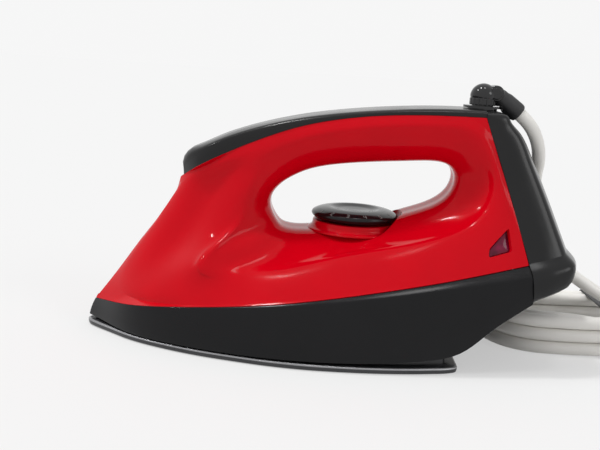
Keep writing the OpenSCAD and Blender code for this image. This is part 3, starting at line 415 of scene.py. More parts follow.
# Cord, from the guard at the turret down behind the heel, into the folded hank on the table and on to the plug
CORD_D = 6.8
CORD_R = CORD_D / 2
CORD_SIDES = 14
SWIVEL_X, HANDLE_H = 71.5, 123
KNUCKLE = vec(SWIVEL_X + 5.6, 0, HANDLE_H + 7.9)
GUARD_PITCH, GUARD_LEN = radians(36), 16
GUARD_WAY = vec(cos(GUARD_PITCH), 0, -sin(GUARD_PITCH))
GUARD_END = KNUCKLE + GUARD_WAY * GUARD_LEN
START_GAP, START_RUN = 0.12, 1.5
CORD_START = GUARD_END + GUARD_WAY * START_GAP
CORD_POINTS = rail([[97.4, 1.2, 114.6], [101.6, 4.1, 107.6], [104.5, 9.6, 98.4], [105.7, 17, 89.6],
                    [107.5, 24.1, 81.5], [109.6, 30.2, 73.3], [112.3, 34.6, 65], [116, 37.1, 56.6],
                    [120.8, 36.9, 48.7], [126.8, 33.6, 41.5], [133.7, 27.6, 35.6], [141.6, 19.9, 30.9],
                    [150, 11.5, 27], [160, 6.2, 23.4], [170, 3.6, 19.6]])

# The hank: the centres of its end turns, its middle, its three layers, and the radii of its two rings of turns
HANK_X, HANK_Y = (115, 187), 23
HANK_IN_X, HANK_OUT_X = 180, 156
LAYERS = [4.2 + k * 1.01 * CORD_D for k in range(3)]
INNER, OUTER = 20.4, 27.3
RUN_STEP, TURN_STEPS, LEAD_STEPS = 5, 18, 3
# Where the tie is, how far its lift reaches and how high it is; then the hank's top and its far side
TIE_X, TIE_REACH, TIE_LIFT = 151, 14, 0.7
HANK_TOP, HANK_FAR = 24, 62
TAIL_POINTS = rail([[166, -7.9, 17.3], [176, -11.4, 16.5], [188, -11.4, 14.5], [200, -9, 12], [211.4, -1.5, 9.5],
                    [218.2, 8, 7.5], [221.6, 22, 5.8], [218.4, 38, 4.6], [210.7, 48, 4.2], [200, 54.9, 4.2],
                    [188, 57.5, 4.2], [176, 57.9, 4.3], [165, 60, 6], [156, 62.8, 8.8], [148, 64.9, 10.9],
                    [140.1, 65.7, 11.6]])


def straight(x0, x1, near, radii, heights, change=(0, 1)):
    """One long side of the hank; radius and height change between two shares of its length."""
    line = []
    steps = max(2, int(abs(x1 - x0) / RUN_STEP))
    for k in range(steps):
        t = k / steps
        w = ease((t - change[0]) / (change[1] - change[0]))
        side = -1 if near else 1
        line.append(vec(mix(x0, x1, t), HANK_Y + side * mix(*radii, w), mix(*heights, w)))
    return line


def end_turn(right, radius, heights):
    """One half turn at an end of the hank."""
    line = []
    for k in range(TURN_STEPS):
        t = k / TURN_STEPS
        angle = pi * (t - 0.5) + (0 if right else pi)
        x = HANK_X[1] if right else HANK_X[0]
        line.append(vec(x + radius * cos(angle), HANK_Y + radius * sin(angle), mix(*heights, ease(t))))
    return line


def hank_route():
    """Down through the three layers on the inner ring and up again on the outer one."""
    a, b = HANK_X
    low, mid, top = LAYERS
    line = [vec(HANK_IN_X, HANK_Y - INNER, top)]
    near, far = True, False
    both = (INNER, INNER)
    for z0, z1 in ((top, mid), (mid, low)):
        line += end_turn(True, INNER, (z0, z0)) + straight(b, a, far, both, (z0, z0))
        line += end_turn(False, INNER, (z0, z0)) + straight(a, b, near, both, (z0, z1), (0.07, 0.9))
    line += end_turn(True, INNER, (low, low)) + straight(b, a, far, (INNER, OUTER), (low, low), (0.1, 0.93))
    both = (OUTER, OUTER)
    for z0, z1 in ((low, mid), (mid, top)):
        line += end_turn(False, OUTER, (z0, z0)) + straight(a, b, near, both, (z0, z0))
        line += end_turn(True, OUTER, (z0, z1)) + straight(b, a, far, both, (z1, z1))
    line += end_turn(False, OUTER, (top, top)) + straight(a, HANK_OUT_X, near, both, (top, top))
    return line


def settled(p):
    """The strands lie on the table away from the tie, which lifts them by its own thickness."""
    near_tie = exp(-(((p.x - TIE_X) / TIE_REACH) ** 2))
    in_hank = clamp((HANK_TOP - p.z) / 3) * clamp((HANK_FAR - p.y) / 4)
    return vec(p.x, p.y, p.z - TIE_LIFT * (1 - near_tie) * in_hank)


def cord_route():
    """The cord's whole centre line."""
    hank = hank_route()
    lead_in = [CORD_START, GUARD_END + GUARD_WAY * START_RUN] + CORD_POINTS + hank[:1]
    tail = [vec(HANK_OUT_X, HANK_Y - OUTER, LAYERS[2])] + TAIL_POINTS
    return smooth(lead_in, LEAD_STEPS)[:-1] + [settled(p) for p in hank + smooth(tail, LEAD_STEPS)]


def length_of(line):
    """The length of a polyline."""
    return sum((b - a).length for a, b in zip(line, line[1:]))


PLUG_AT = vec(140, 65.7, 11.6)
PLUG_LEN, PLUG_R = 34, 11.5
FLUTES_Z = (19, 33)
# Radius, place across and sideways, and length of each pin: live, neutral, earth
PINS = ((2.4, -3, -7.5, 15), (2.4, -3, 7.5, 15), (3, 5.5, 0, 18))


def make_plug():
    """The plug with its ribbed sleeve and finger grip, and its three pins."""
    place = turned(PLUG_AT, vec(-1, 0, 0), vec(0, 0, 1))
    sleeve = [(0, 0), (4.2, 0), (4.4, 1.2)]
    for k in range(4):
        wider, z = 0.12 * k, 2.4 * k
        sleeve += [(4.5 + wider, 1.6 + z), (4.9 + wider, 2.2 + z), (4.9 + wider, 3.2 + z), (4.5 + wider, 3.8 + z)]
    shoulder = [(5.4, 11.6), (7.6, 14), (9.6, 16.5), (PLUG_R - 0.7, 18.6), (PLUG_R, 20.5), (PLUG_R, 24.5),
                (PLUG_R - 0.6, 25.2), (PLUG_R - 0.6, 26), (PLUG_R, 26.7), (PLUG_R, PLUG_LEN - 1.1),
                (PLUG_R - 1.1, PLUG_LEN), (0, PLUG_LEN)]
    profile = rounded_profile(sleeve + shoulder, 0.5, 2)

    def grip(angle, radius, z):
        return -0.35 * max(0, cos(24 * angle)) * (FLUTES_Z[0] < z < FLUTES_Z[1])

    body = piece("plug", *lathe(profile, 96, place, grip), WHITE, "housing", "cord", ["plug_body"])
    pins = []
    for radius, across, side, length in PINS:
        pin = rounded_profile([(0, -1), (radius, -1), (radius, length - 1.2), (radius - 1, length), (0, length)], 0.5)
        at = place @ Matrix.Translation(vec(across, side, PLUG_LEN))
        pins.append(lathe(pin, 32, at))
    prongs = piece("plug_prongs", *joined(*pins), BRASS, "housing", "brass", ["plug_pins"])
    return body, prongs


def make_tie():
    """A flat strap round the whole hank."""
    half_w, t, corner, corner_steps = 4, 0.8, 3, 4
    y0, y1 = HANK_Y - 4.5 * CORD_D - t, HANK_Y + 4.5 * CORD_D + t
    z1 = 3 * CORD_D + 2 * t
    ring = []
    for cy, cz, start in ((y1 - corner, z1 - corner, 0), (y0 + corner, z1 - corner, 90),
                          (y0 + corner, corner, 180), (y1 - corner, corner, 270)):
        ring += [(cy, cz, radians(start + 90 * k / corner_steps)) for k in range(corner_steps + 1)]
    points = []
    section = [(-half_w, 0.15), (-half_w + 0.3, 0), (half_w - 0.3, 0), (half_w, 0.15), (half_w, t - 0.15),
               (half_w - 0.3, t), (-half_w + 0.3, t), (-half_w, t - 0.15)]
    for cy, cz, angle in ring:
        for x, inward in section:
            r = corner - inward
            points.append(vec(TIE_X + x, cy + r * cos(angle), cz + r * sin(angle)))
    faces = [[i % len(points) for i in face] for face in bands(len(ring) + 1, len(section))]
    return piece("hank_strap", points, faces, RUBBER, "housing", "black", ["hank_tie"], 40)


def make_cord():
    """The cord, from the guard on the turret down past the heel into its hank on the table, with its plug and tie."""
    line = cord_route()
    cord = piece("cord", *tube(line, CORD_R, CORD_SIDES), CORD, None, "cord",
                 ["power_cord", "cord_hank", "plug_tail"], 60)
    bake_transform(cord)
    plug = make_plug()
    strap = make_tie()
    round(length_of(line) * MM, 3)


make_cord()

# The body's outline tables: x, half width, z. They run from the nose's tip up the nose, along the cap, down the
# rear seam and back along the skirt, and the tables of the hand opening go round beside them, point for point.
RIDGE_EDGE = rail([[-118.5, 0, 13.2], [-109, 0, 26.5], [-96, 0, 46], [-84.5, 0, 62.5], [-79, 0, 72], [-77, 0, 79.4]])
CAP_EDGE = rail([[-77, 0, 79.4], [-66.2, 13, 87.3], [-43, 16, 99.5], [-16, 17, 110.2], [11, 17, 116],
                 [38, 17, 118.6], [57, 17, 119.3], [71, 17, 119.5]])
REAR_EDGE = rail([[71, 17, 119.5], [77.2, 20, 103], [83, 24.5, 87], [88.8, 29.8, 70], [94.2, 36, 52.5]])
SKIRT_EDGE = rail([[94.2, 36, 52.5], [76, 40.5, 48.6], [55, 45.4, 44.3], [30, 49.6, 39.6], [5, 52, 35],
                   [-20, 52, 30.6], [-45, 48.4, 26.6], [-70, 41, 22.8], [-93, 29, 18.8], [-118.5, 0, 13.2]])
OPENING_EDGE = rail([[-26.5, 0, 60.5], [-29.5, 0, 65], [-31, 0, 70], [-30, 0, 75], [-27.5, 0, 78.5],
                     [-24.5, 0, 81.5], [-20, 0, 84.5], [-12, 0, 88.6], [3, 0, 91.8], [20, 0, 93.8], [38, 0, 95.3],
                     [50, 0, 96.2], [57, 0, 94.6], [60, 0, 90.5], [60.3, 0, 86], [58.5, 0, 80.8], [54.5, 0, 76.4],
                     [47.5, 0, 72.5], [38, 0, 69.2], [24, 0, 64.2], [8, 0, 60.6], [-6, 0, 58.4], [-16, 0, 57.4],
                     [-21.5, 0, 57.8], [-24.6, 0, 58.8]])
# Half the opening's inner width at each of its points
BAND = [11, 10, 9, 9, 9, 9, 9, 9, 9, 9, 9, 9, 9, 10, 11, 12, 13, 13, 13, 13, 13, 13, 12, 12, 12]
# The ridge round the opening
FLARE_EDGE = rail([[-56, 33.5, 51], [-46, 25.5, 59.5], [-42, 22, 67], [-41, 21, 74.5], [-39.5, 20, 80.5],
                   [-37, 19, 86], [-32, 18.5, 92], [-22, 18.5, 99], [-1, 19, 105.5], [18, 19.5, 108.6],
                   [38, 19.5, 110.3], [54, 19.5, 110.5], [66, 20, 107.5], [73.5, 21.3, 99.5], [77.3, 23.2, 90],
                   [76.5, 25.2, 79.5], [71.6, 27.5, 71.5], [61, 30.5, 64.8], [47, 32.5, 60], [27, 34, 55.6],
                   [5, 35.8, 51], [-15, 37, 45], [-35, 38.2, 40.2], [-52, 39.2, 38.8], [-61.5, 38.6, 42]])
SHELL_WALL, COVER_WALL, SEAM = 2.4, 2.2, 0.15
DIAL_X, FLOOR_Z = 12, 58.6
COLLAR_R, WELL_R, COLLAR_H = 20, 23.6, 4.2

# How the body bulges, in millimetres: at the nose, on the flanks, and round the opening the hollow inside its ridge
NOSE_SWELL, FLANK_SWELL = 4.2, 1.4
RIM_OUT = 0.6
HOLLOW, CREST_RISE, FLANK_RISE = 2.8, 0.4, 0.5
# Where that is so, counted in points of the tables
NOSE_FADE = 1.6
CREST_END, CREST_START, CREST_FADE = 1.2, 12.5, 2
NOSE_END, NOSE_START, NOSE_BLEND = 6, 22.5, 1.5
HANDLE_AT, REAR_AT = 9, 12
FLAT_COLUMNS = 4.5
# Steps between the points of a row, and how often its points are drawn together: all over, then at the nose alone
ACROSS = 4
RELAX_ALL, RELAX_NOSE = 14, 56
SHUT_ROWS = (len(RIDGE_EDGE) - 1) * FINE


def body_row(i, count, a, band, r, o):
    """A row of the body: from its outer edge o over the ridge r and the opening's rim to the same on the other side.
    a is the row's point on the middle line of the opening, and the rows up to SHUT_ROWS meet at the nose."""
    shut = i <= SHUT_ROWS
    lean = vec(r.x - a.x, 0, r.z - a.z).normalized()
    b = a + vec(0, band, 0) + lean * RIM_OUT
    nose = 1 if shut else ease(1 - min(i - SHUT_ROWS, count - i) / (NOSE_FADE * FINE))
    f = mix(r, o, 0.5) + vec(0, mix(FLANK_SWELL, NOSE_SWELL * 0.7, nose), 0)
    n = mix(r, o, mix(0.82, 0.88, nose)) + vec(0, mix(FLANK_SWELL * 0.4, NOSE_SWELL, nose), 0)
    past = mirrored(n) if shut else 2 * o - n
    steps = 10
    half = smooth([mirrored(b), a, b, r, f, n, o, past], steps)[2 * steps:]
    at = i / FINE
    crest = ease((at - CREST_START) / CREST_FADE) if at > HANDLE_AT else ease(CREST_END - at)
    inward = (r - b).cross(vec(r.x - a.x, 0, r.z - a.z).cross(vec(0, 1, 0))).normalized() * crest
    side = [b, half[5] + inward * HOLLOW, half[8] + inward * HOLLOW * 0.6, r - inward * CREST_RISE,
            half[13] - inward * FLANK_RISE, f, n, o, past]
    line = smooth([mirrored(p) for p in reversed(side)] + [a] + side, ACROSS)
    return line[ACROSS:len(line) - ACROSS]


def body_rows():
    """All rows of the body's outer face, and the opening's middle line."""
    opening = smooth(OPENING_EDGE, loop=True)
    band = smooth([vec(b, 0, 0) for b in BAND], loop=True)
    flare = smooth(FLARE_EDGE, loop=True)
    outer = sum((smooth(e)[:-1] for e in (RIDGE_EDGE, CAP_EDGE, REAR_EDGE, SKIRT_EDGE)), [])
    count = len(outer)
    rows = [body_row(i, count, a, b.x, r, o) for i, (a, b, r, o) in enumerate(zip(opening, band, flare, outer))]
    for k in range(RELAX_ALL + RELAX_NOSE):
        rows = [[relaxed(rows, i, j, k >= RELAX_ALL) for j in range(len(rows[i]))] for i in range(count)]
    return rows, opening


def relaxed(rows, i, j, nose_only):
    """A point of the body drawn towards its neighbours in the next rows, which takes small creases out."""
    row, at = rows[i], i / FINE
    if j in (0, len(row) - 1):
        return row[j]
    at_nose = ease((NOSE_END - at) / 3) if at < REAR_AT else ease((at - NOSE_START) / NOSE_BLEND)
    at_nose *= ease(abs(j - len(row) // 2) / ACROSS - FLAT_COLUMNS)
    mean = (rows[i - 1][j] + rows[(i + 1) % len(rows)][j]) / 2
    return mix(row[j], mean, 0.5 * (at_nose if nose_only else 1))


# The shell is thicker under the dial: by how much, round where, how far, and only below the handle
SEAT_T, SEAT_X, SEAT_REACH, SEAT_TOP = 9, DIAL_X + 6, 36, 76.875


def body_inner(rows, opening):
    """The inner face, a wall's thickness inside, thicker under the dial."""
    count, cols = len(rows), len(rows[0])
    middle = (cols - 1) / 2
    inner = []
    for i, row in enumerate(rows):
        under_dial = 1 - abs(opening[i].x - SEAT_X) / SEAT_REACH if opening[i].z < SEAT_TOP else 0
        shut = i <= SHUT_ROWS
        line = []
        for j, p in enumerate(row):
            u = rows[(i + 1) % count][j] - rows[i - 1][j]
            if shut and j in (0, cols - 1):
                v = row[1] - row[cols - 2]
            else:
                v = row[min(cols - 1, j + 1)] - row[max(0, j - 1)]
            near = clamp(1.5 - abs(j - middle) / (1.5 * ACROSS))
            wall = SHELL_WALL + SEAT_T * clamp(2 * under_dial) * near
            q = p + u.cross(v).normalized() * wall
            y = 0 if abs(p.y) < 0.01 else (1 if p.y > 0 else -1) * max(abs(q.y), abs(p.y) * 0.4)
            line.append(vec(q.x, y, q.z))
        inner.append(line)
    return inner


def make_body():
    """The red shell with its closed handle, the dial's well and the lens's recess."""
    rows, opening = body_rows()
    inner = body_inner(rows, opening)
    count, cols = len(rows), len(rows[0])
    points = [p for grid in (rows, inner) for row in grid for p in row]

    def spot(i, j, layer):
        i %= count
        return layer * count * cols + i * cols + (0 if i <= SHUT_ROWS and j == cols - 1 else j)

    faces = skins(count, cols, spot)
    for i in range(SHUT_ROWS, count):
        for j, order in ((0, 1), (cols - 1, -1)):
            quad = [spot(i, j, 0), spot(i + 1, j, 0), spot(i + 1, j, 1), spot(i, j, 1)]
            faces.append(quad[::order])
    faces = [list(dict.fromkeys(face)) for face in faces]
    shell = piece("body", points, [f for f in faces if len(f) > 2], RED, "housing", "red", ["body_shell"], 40)
    remove_loose(shell)
    well_top = FLOOR_Z + 12
    cut(shell, *lathe([(0, FLOOR_Z), (WELL_R, FLOOR_Z), (WELL_R + 0.4, well_top), (0, well_top)], 96,
                      Matrix.Translation(vec(DIAL_X, 0, 0))), 40)
    cut(shell, *lens_solid([(11.4, -6), (11.4, -0.9), (11.9, 0), (12.4, 6)], 1.2), 30)


def remove_loose(thing):
    """Takes out the points that no face uses, left where the two sides of a row share their edge point."""
    work = bmesh.new()
    work.from_mesh(thing.data)
    bmesh.ops.delete(work, geom=[v for v in work.verts if not v.link_faces], context="VERTS")
    work.to_mesh(thing.data)
    work.free()


LENS_AT = vec(81.6, -33.5, 60.8)
LENS_TURN = Matrix.Rotation(radians(14), 4, "Z") @ Matrix.Rotation(radians(66), 4, "X")
LENS_PLACE = Matrix.Translation(LENS_AT) @ LENS_TURN
# Its corners, as shares of its side
LENS_OUTLINE, LENS_SIDE = ((-0.66, -0.5), (0.34, -0.24), (0.26, 0.7), (-0.6, -0.14)), 11


def lens_solid(rings, soft=0.9):
    """A solid on the lens outline: each ring has a side length and a height on the lens axis."""
    points = []
    for side, z in rings:
        corners = [vec(x * side, y * side, 0) for x, y in LENS_OUTLINE]
        ring = rounded(corners + corners[:2], soft * side / LENS_SIDE)
        points += [LENS_PLACE @ vec(p.x, p.y, z) for p in ring[1:-1]]
    return points, closed(len(rings), len(points) // len(rings))


def make_lens():
    """A wedge-shaped lens with faint facets, sunk in its recess."""
    piece("lamp_window", *lens_solid([(10.9, -3.5), (10.9, -1.3), (9.9, -1), (1.2, -0.5)]), LENS, "housing", "lens",
          ["lamp_lens"], 8)


def make_collar():
    """The raised red ring that carries the dial."""
    place = Matrix.Translation(vec(DIAL_X, 0, 0))
    low, high = FLOOR_Z - 1, FLOOR_Z + COLLAR_H
    profile = [(0, low), (WELL_R - 0.2, low), (WELL_R - 0.3, FLOOR_Z + 0.1), (COLLAR_R + 2, FLOOR_Z + 0.7),
               (COLLAR_R + 1.2, FLOOR_Z + 1.9), (COLLAR_R + 0.9, high), (COLLAR_R - 1, high), (6, high), (0, high)]
    piece("dial_collar", *lathe(rounded_profile(profile, 0.8), 96, place), RED, "housing", "red")


make_body()
make_lens()
make_collar()

# Handle cap
CAP_TOP = rail([[-76.6, 0, 84], [-75.4, 0, 90.5], [-72.5, 0, 94], [-66, 0, 97.2], [-54, 0, 103], [-38, 0, 108.8],
                [-20, 0, 113.6], [2, 0, 117.6], [24, 0, 120.4], [46, 0, 122.3], [60, 0, 122.9], [71, 0, 123]])
CAP_NOSE_X = -54
# Half a cross section between the edge and the top: shares of the way along, of the half width and of the rise
CAP_SECTION = ((0.3, 0.995, 0.5), (0.6, 0.93, 0.8), (0.85, 0.66, 0.955))


def point_at(line, reach):
    """The point a given way along a polyline."""
    for a, b in zip(line, line[1:]):
        step = (b - a).length
        if reach <= step:
            return mix(a, b, reach / step if step else 0)
        reach -= step
    return line[-1].copy()


def make_cap():
    """The black cap on the handle. At its nose the sections fan out round the front."""
    edge, top = smooth(CAP_EDGE), smooth(CAP_TOP)
    nose_top = [p for p in top if p.x <= CAP_NOSE_X]
    edge_nose_len = length_of([p for p in edge if p.x <= CAP_NOSE_X])
    top_nose_len = length_of(nose_top)
    grid = []
    walked = 0
    for i, e in enumerate(edge):
        walked += (e - edge[i - 1]).length if i else 0
        if e.x <= CAP_NOSE_X:
            t = point_at(nose_top, walked / edge_nose_len * top_nose_len)
        else:
            at = next(k for k in range(1, len(top)) if top[k].x >= e.x - 0.001)
            a, b = top[at - 1], top[at]
            t = mix(a, b, clamp((e.x - a.x) / (b.x - a.x)))
        base = e + vec(0, 0, SEAM)
        rise = t.z - base.z
        half = [base] + [vec(mix(base.x, t.x, way), base.y * w, base.z + up * rise) for way, w, up in CAP_SECTION]
        grid.append(smooth(half + [t] + [mirrored(p) for p in reversed(half)], 4))
    grid = grid[1:]
    piece("cap", *sheet(grid, thickened(grid, COVER_WALL)), CAP, "housing", "cap", ["handle_cap"], 50)


make_cap()

# Rear cover, rows from the cap seam over the top and down to the underside
COVER_SIDE = rail([[71, 17, 119.5], [71.8, 17.3, 117.5], [72.8, 17.8, 114.8], [74.2, 18.5, 111], [75.8, 19.3, 106.8],
                   [79.4, 21.6, 97.3], [85.2, 26.4, 80.8], [90.4, 31.4, 65], [94.2, 36, 53.2], [95.4, 40.8, 48.4],
                   [96.8, 41.2, 37.6], [97, 39.5, 34.8]])
COVER_CORNER = rail([[71, 15, 122.1], [78, 15, 122], [81.8, 14.6, 121.2], [84.2, 14.6, 117.6],
                     [88.6, 15.2, 112.6], [95.4, 18.4, 98.6], [102.9, 22.4, 82.6], [109.4, 26.4, 67.8],
                     [113.6, 29.2, 58.2], [117.9, 32.8, 53.2], [117.2, 33.4, 46.2], [97.6, 28, 34.8]])
COVER_BACK = rail([[71, 0, 123], [76.5, 0, 122.7], [79.4, 0, 121.2], [83, 0, 117.6], [90, 0, 111.6],
                   [98.4, 0, 98.4], [106.2, 0, 82.4], [112.8, 0, 67.8], [117, 0, 58.4], [122, 0, 52], [121.4, 0, 46],
                   [97.8, 0, 34.8]])
# The rails break above the lower band; the side bulges, and its corner is a narrow strip
COVER_BREAK, COVER_SHARP = 8, 13
SIDE_SWELL, SIDE_AT, CORNER_W = 1.6, 0.55, 0.14
REAR_SCREW_Z, REAR_WELL_R, REAR_WELL_X = 84, 3.6, (103, 140)


def make_cover():
    """The rear cover with the well of its screw."""
    rails = [[p + vec(SEAM, 0, 0) for p in smooth(r[:COVER_BREAK + 1])[:-1] + smooth(r[COVER_BREAK:])]
             for r in (COVER_SIDE, COVER_CORNER, COVER_BACK)]
    grid = []
    for s, c, b in zip(*rails):
        m = mix(s, c, SIDE_AT) + vec(0, SIDE_SWELL, 0)
        half = [s, m, mix(c, m, CORNER_W), mix(c, b, CORNER_W)]
        grid.append(smooth(half + [b] + [mirrored(p) for p in reversed(half)]))
    cover = piece("heel_cover", *sheet(grid, thickened(grid, COVER_WALL)), CAP, "housing", "cap", ["rear_cover"],
                  COVER_SHARP)
    across = turned(vec(0, 0, REAR_SCREW_Z), vec(1, 0, 0), vec(0, 1, 0))
    x0, x1 = REAR_WELL_X
    cut(cover, *lathe([(0, x0), (REAR_WELL_R, x0), (REAR_WELL_R, x1), (0, x1)], 48, across), COVER_SHARP)


make_cover()

# Skirt: its foot, and at each of the top edge's points the width of the bevel below it
SKIRT_LOW = rail([[97, 40.5, 34.5], [81, 43.6, 23.5], [64, 46.3, 10], [36, 52.6, 5.8], [6, 55, 4.3],
                  [-20, 53.6, 3.8], [-45, 48.6, 3.6], [-70, 40.6, 3.6], [-93.5, 28.6, 3.6], [-121.6, 0, 4.2]])
BEVEL_W = [5, 4.4, 3.5, 2.8, 2.1, 1.4, 0.8, 0.4, 0.3, 0.3]
BEVEL_FALL, REAR_OUT = 0.9, 1.1
SKIRT_WALL, LIP_W, LIP_DROP = 2.6, 4, 4.6
TIP_HALF_W, TIP_FADE = 14, 10
DECK_Z, DECK_T, DECK_X = 17.5, 2.5, (-66, 73)
SOLE_REAR, PANEL_LAP, PANEL_STEPS = 64, 4, 8


def round_the_tip(points):
    """A rail of one side, taken round the nose's tip and along the other side."""
    line = smooth(points)
    return [mirrored(p) for p in line] + line[-2::-1]


def skirt_rails():
    """The skirt's foot, the lower edge of its bevel, its top edge and the lip that turns in under the body."""
    top = [p - vec(0, 0, SEAM) for p in SKIRT_EDGE]
    side, lip = [], []
    for k, (p, w) in enumerate(zip(top, BEVEL_W)):
        tip = k == len(top) - 1
        side.append(p + (vec(-w, 0, -BEVEL_FALL * w) if tip else vec(0 if k else REAR_OUT, w, -BEVEL_FALL * w)))
        lip.append(p + (vec(LIP_W, 0, -LIP_DROP / 2) if tip else vec(0, -min(LIP_W, p.y * 0.6), -LIP_DROP)))
    return [round_the_tip(r) for r in (SKIRT_LOW, side, top, lip)]


def skirt_section(low, side, top, lip):
    """The outer and the inner line of the band where the four rails cross one section."""
    front = clamp((TIP_HALF_W - abs(low.y)) / TIP_FADE)
    way = vec(mix(0.25 if low.x < SOLE_REAR else -0.3, 1, front), -mix(1 if low.y > 0 else -1, 0, front), 0)
    toward = way * SKIRT_WALL
    foot = low + toward * 0.5
    crown = mix(low, side, 0.5) - way * 0.5
    corners = [foot, low, mix(low, crown, 0.66), mix(side, crown, 0.66), side, top, lip]
    line = [foot] + rounded(corners, 0.7)[1:]
    back = [foot + toward * 0.5 + vec(0, 0, 0.3)]
    for p in line[1:-4]:
        share = clamp((p.z - side.z) / max(0.1, top.z - side.z)) if p.z > side.z else 0
        back.append(p + (toward * (1 - 0.4 * share) - vec(0, 0, SKIRT_WALL * (0.3 + 0.7 * share))))
    return line, back + [p + vec(0, 0, -SKIRT_WALL) for p in line[-4:]]


def make_skirt():
    """The band round the body, its sloped underside behind the soleplate, and the deck inside."""
    outer, inner = zip(*[skirt_section(*g) for g in zip(*skirt_rails())])
    low = smooth(SKIRT_LOW)
    shares = [k / PANEL_STEPS for k in range(-PANEL_STEPS, PANEL_STEPS + 1)]
    under = [p for p in low if p.x > SOLE_REAR - PANEL_LAP]
    panel = [[vec(p.x - 0.3, p.y * t * 0.965, p.z + 0.4) for t in shares] for p in under]
    panel_top = [[q + vec(-1, 0, SKIRT_WALL) for q in row] for row in panel]
    deck_line = [(p.x, p.y - SKIRT_WALL / 2) for p in low if DECK_X[0] < p.x < DECK_X[1] and p.y > SKIRT_WALL]
    deck = prism([(x, -y) for x, y in deck_line][::-1] + deck_line, DECK_Z, DECK_Z + DECK_T)
    parts = [sheet(outer, inner), sheet(panel_top, panel), deck]
    piece("skirt_band", *joined(*parts), SKIRT, "housing", "skirt", ["skirt"], 30)


make_skirt()

# Soleplate
SOLE_HALF = rail([[-122, 0, 0], [-120.5, 4, 0], [-115.5, 9.5, 0], [-109, 15.3, 0], [-95, 27.3, 0], [-77, 37.4, 0],
                  [-60, 44.3, 0], [-45, 48.6, 0], [-28, 52.6, 0], [-11, 54.8, 0], [8, 55, 0], [34, 52.6, 0],
                  [50, 49.4, 0], [59.5, 46.6, 0], [63, 44.2, 0], [64, 41, 0]])
SOLE_MID = vec(-20, 0, 0)
LIP_T, BLOCK_H, LIP_IN = 3, 9, 6
# Insets and heights of its rings, and the bands between them that are bare metal: the lip's upper edge
SOLE_RINGS = [(0.9, 0), (0.25, 0.25), (0, 0.8), (0, LIP_T - 0.9), (0.3, LIP_T - 0.25), (1, LIP_T), (LIP_IN, LIP_T),
              (LIP_IN + 0.4, BLOCK_H - 0.4), (LIP_IN + 0.8, BLOCK_H)]
BARE_BANDS = (3, 4)


def make_sole():
    """The soleplate: a thin lip round the edge with a block on it."""
    half = smooth(SOLE_HALF, 4)
    loop = half + [mirrored(p) for p in reversed(half) if p.y > 0.01]
    count = len(loop)
    points = []
    for inset, z in SOLE_RINGS:
        for k, p in enumerate(loop):
            along = (loop[(k + 1) % count] - loop[k - 1]).normalized()
            aside = vec(along.y, -along.x, 0) * inset
            keep = 1 if (p + aside - SOLE_MID).length < (p - SOLE_MID).length else -1
            points.append(p + aside * keep + vec(0, 0, z))
    kinds = [int(k in BARE_BANDS) for k in range(len(SOLE_RINGS) - 1) for s in range(count)] + [0, 0]
    faces = closed(len(SOLE_RINGS), count, flip=True)
    piece("sole", points, faces, [SOLE, EDGE], "housing", "sole", ["soleplate"], 50, kinds)


make_sole()

# Temperature dial, and its numbers 1 to 6 as strokes. A stroke's ends are given across and out along the slope.
DIAL_D, DIAL_T = 44, 6
DIAL_Z = FLOOR_Z + COLLAR_H + 0.5
STROKES = {"top": ((-0.55, 0.1), (0.55, 0.1)), "mid": ((-0.5, 1.2), (0.5, 1.2)), "low": ((-0.55, 2.3), (0.55, 2.3)),
           "a": ((-0.55, 0.1), (-0.5, 1.2)), "b": ((0.55, 0.1), (0.5, 1.2)), "c": ((-0.5, 1.2), (-0.55, 2.3)),
           "d": ((0.5, 1.2), (0.55, 2.3))}
NUMBERS = ["b d", "top b mid c low", "top b mid d low", "a mid b d", "top a mid d low", "top a mid c d low"]
STROKE_HALF_W, STROKE_SINK, STROKE_RISE, STROKE_STEPS = 0.2, -0.1, 0.06, 3
NUMBERS_IN, NUMBER_SCALE, FIRST_ANGLE, NUMBER_ANGLE = 3.1, 0.85, -150, 24


def make_dial():
    """A round knob with a shallow dish on top and its numbers on the outer slope."""
    place = Matrix.Translation(vec(DIAL_X, 0, DIAL_Z))
    r, t = DIAL_D / 2, DIAL_T
    profile = [(0, 0), (r - 2.6, 0), (r - 0.9, t * 0.18), (r, t * 0.42), (r - 0.7, t * 0.64), (r - 3.4, t * 0.86),
               (r - 7, t * 0.98), (r - 9.5, t), (r - 11, t * 0.94), (r - 13.5, t * 0.83), (2, t * 0.77), (0, t * 0.77)]
    round_rim = rounded_profile(profile, 1.6, 4)
    piece("dial", *lathe(round_rim, 144, place), DIAL, "dial", "dial", ["temperature_dial"], 40)

    def on_slope(across, out, lift):
        """A point on the dial's outer slope: across the number, outwards from the slope's top, and above it."""
        radius = r - NUMBERS_IN + out * NUMBER_SCALE
        inner = max(k for k in range(4, 7) if profile[k][0] >= radius or k == 4)
        (r0, z0), (r1, z1) = profile[inner], profile[inner + 1]
        return vec(radius, across, mix(z0, z1, (r0 - radius) / (r0 - r1)) + lift)

    marks = []
    for k, shape in enumerate(NUMBERS):
        at = place @ Matrix.Rotation(radians(FIRST_ANGLE + NUMBER_ANGLE * k), 4, "Z")
        marks += [bar(at, on_slope, *STROKES[stroke]) for stroke in shape.split()]
    piece("dial_marks", *joined(*marks), MARK, "dial", "dial")


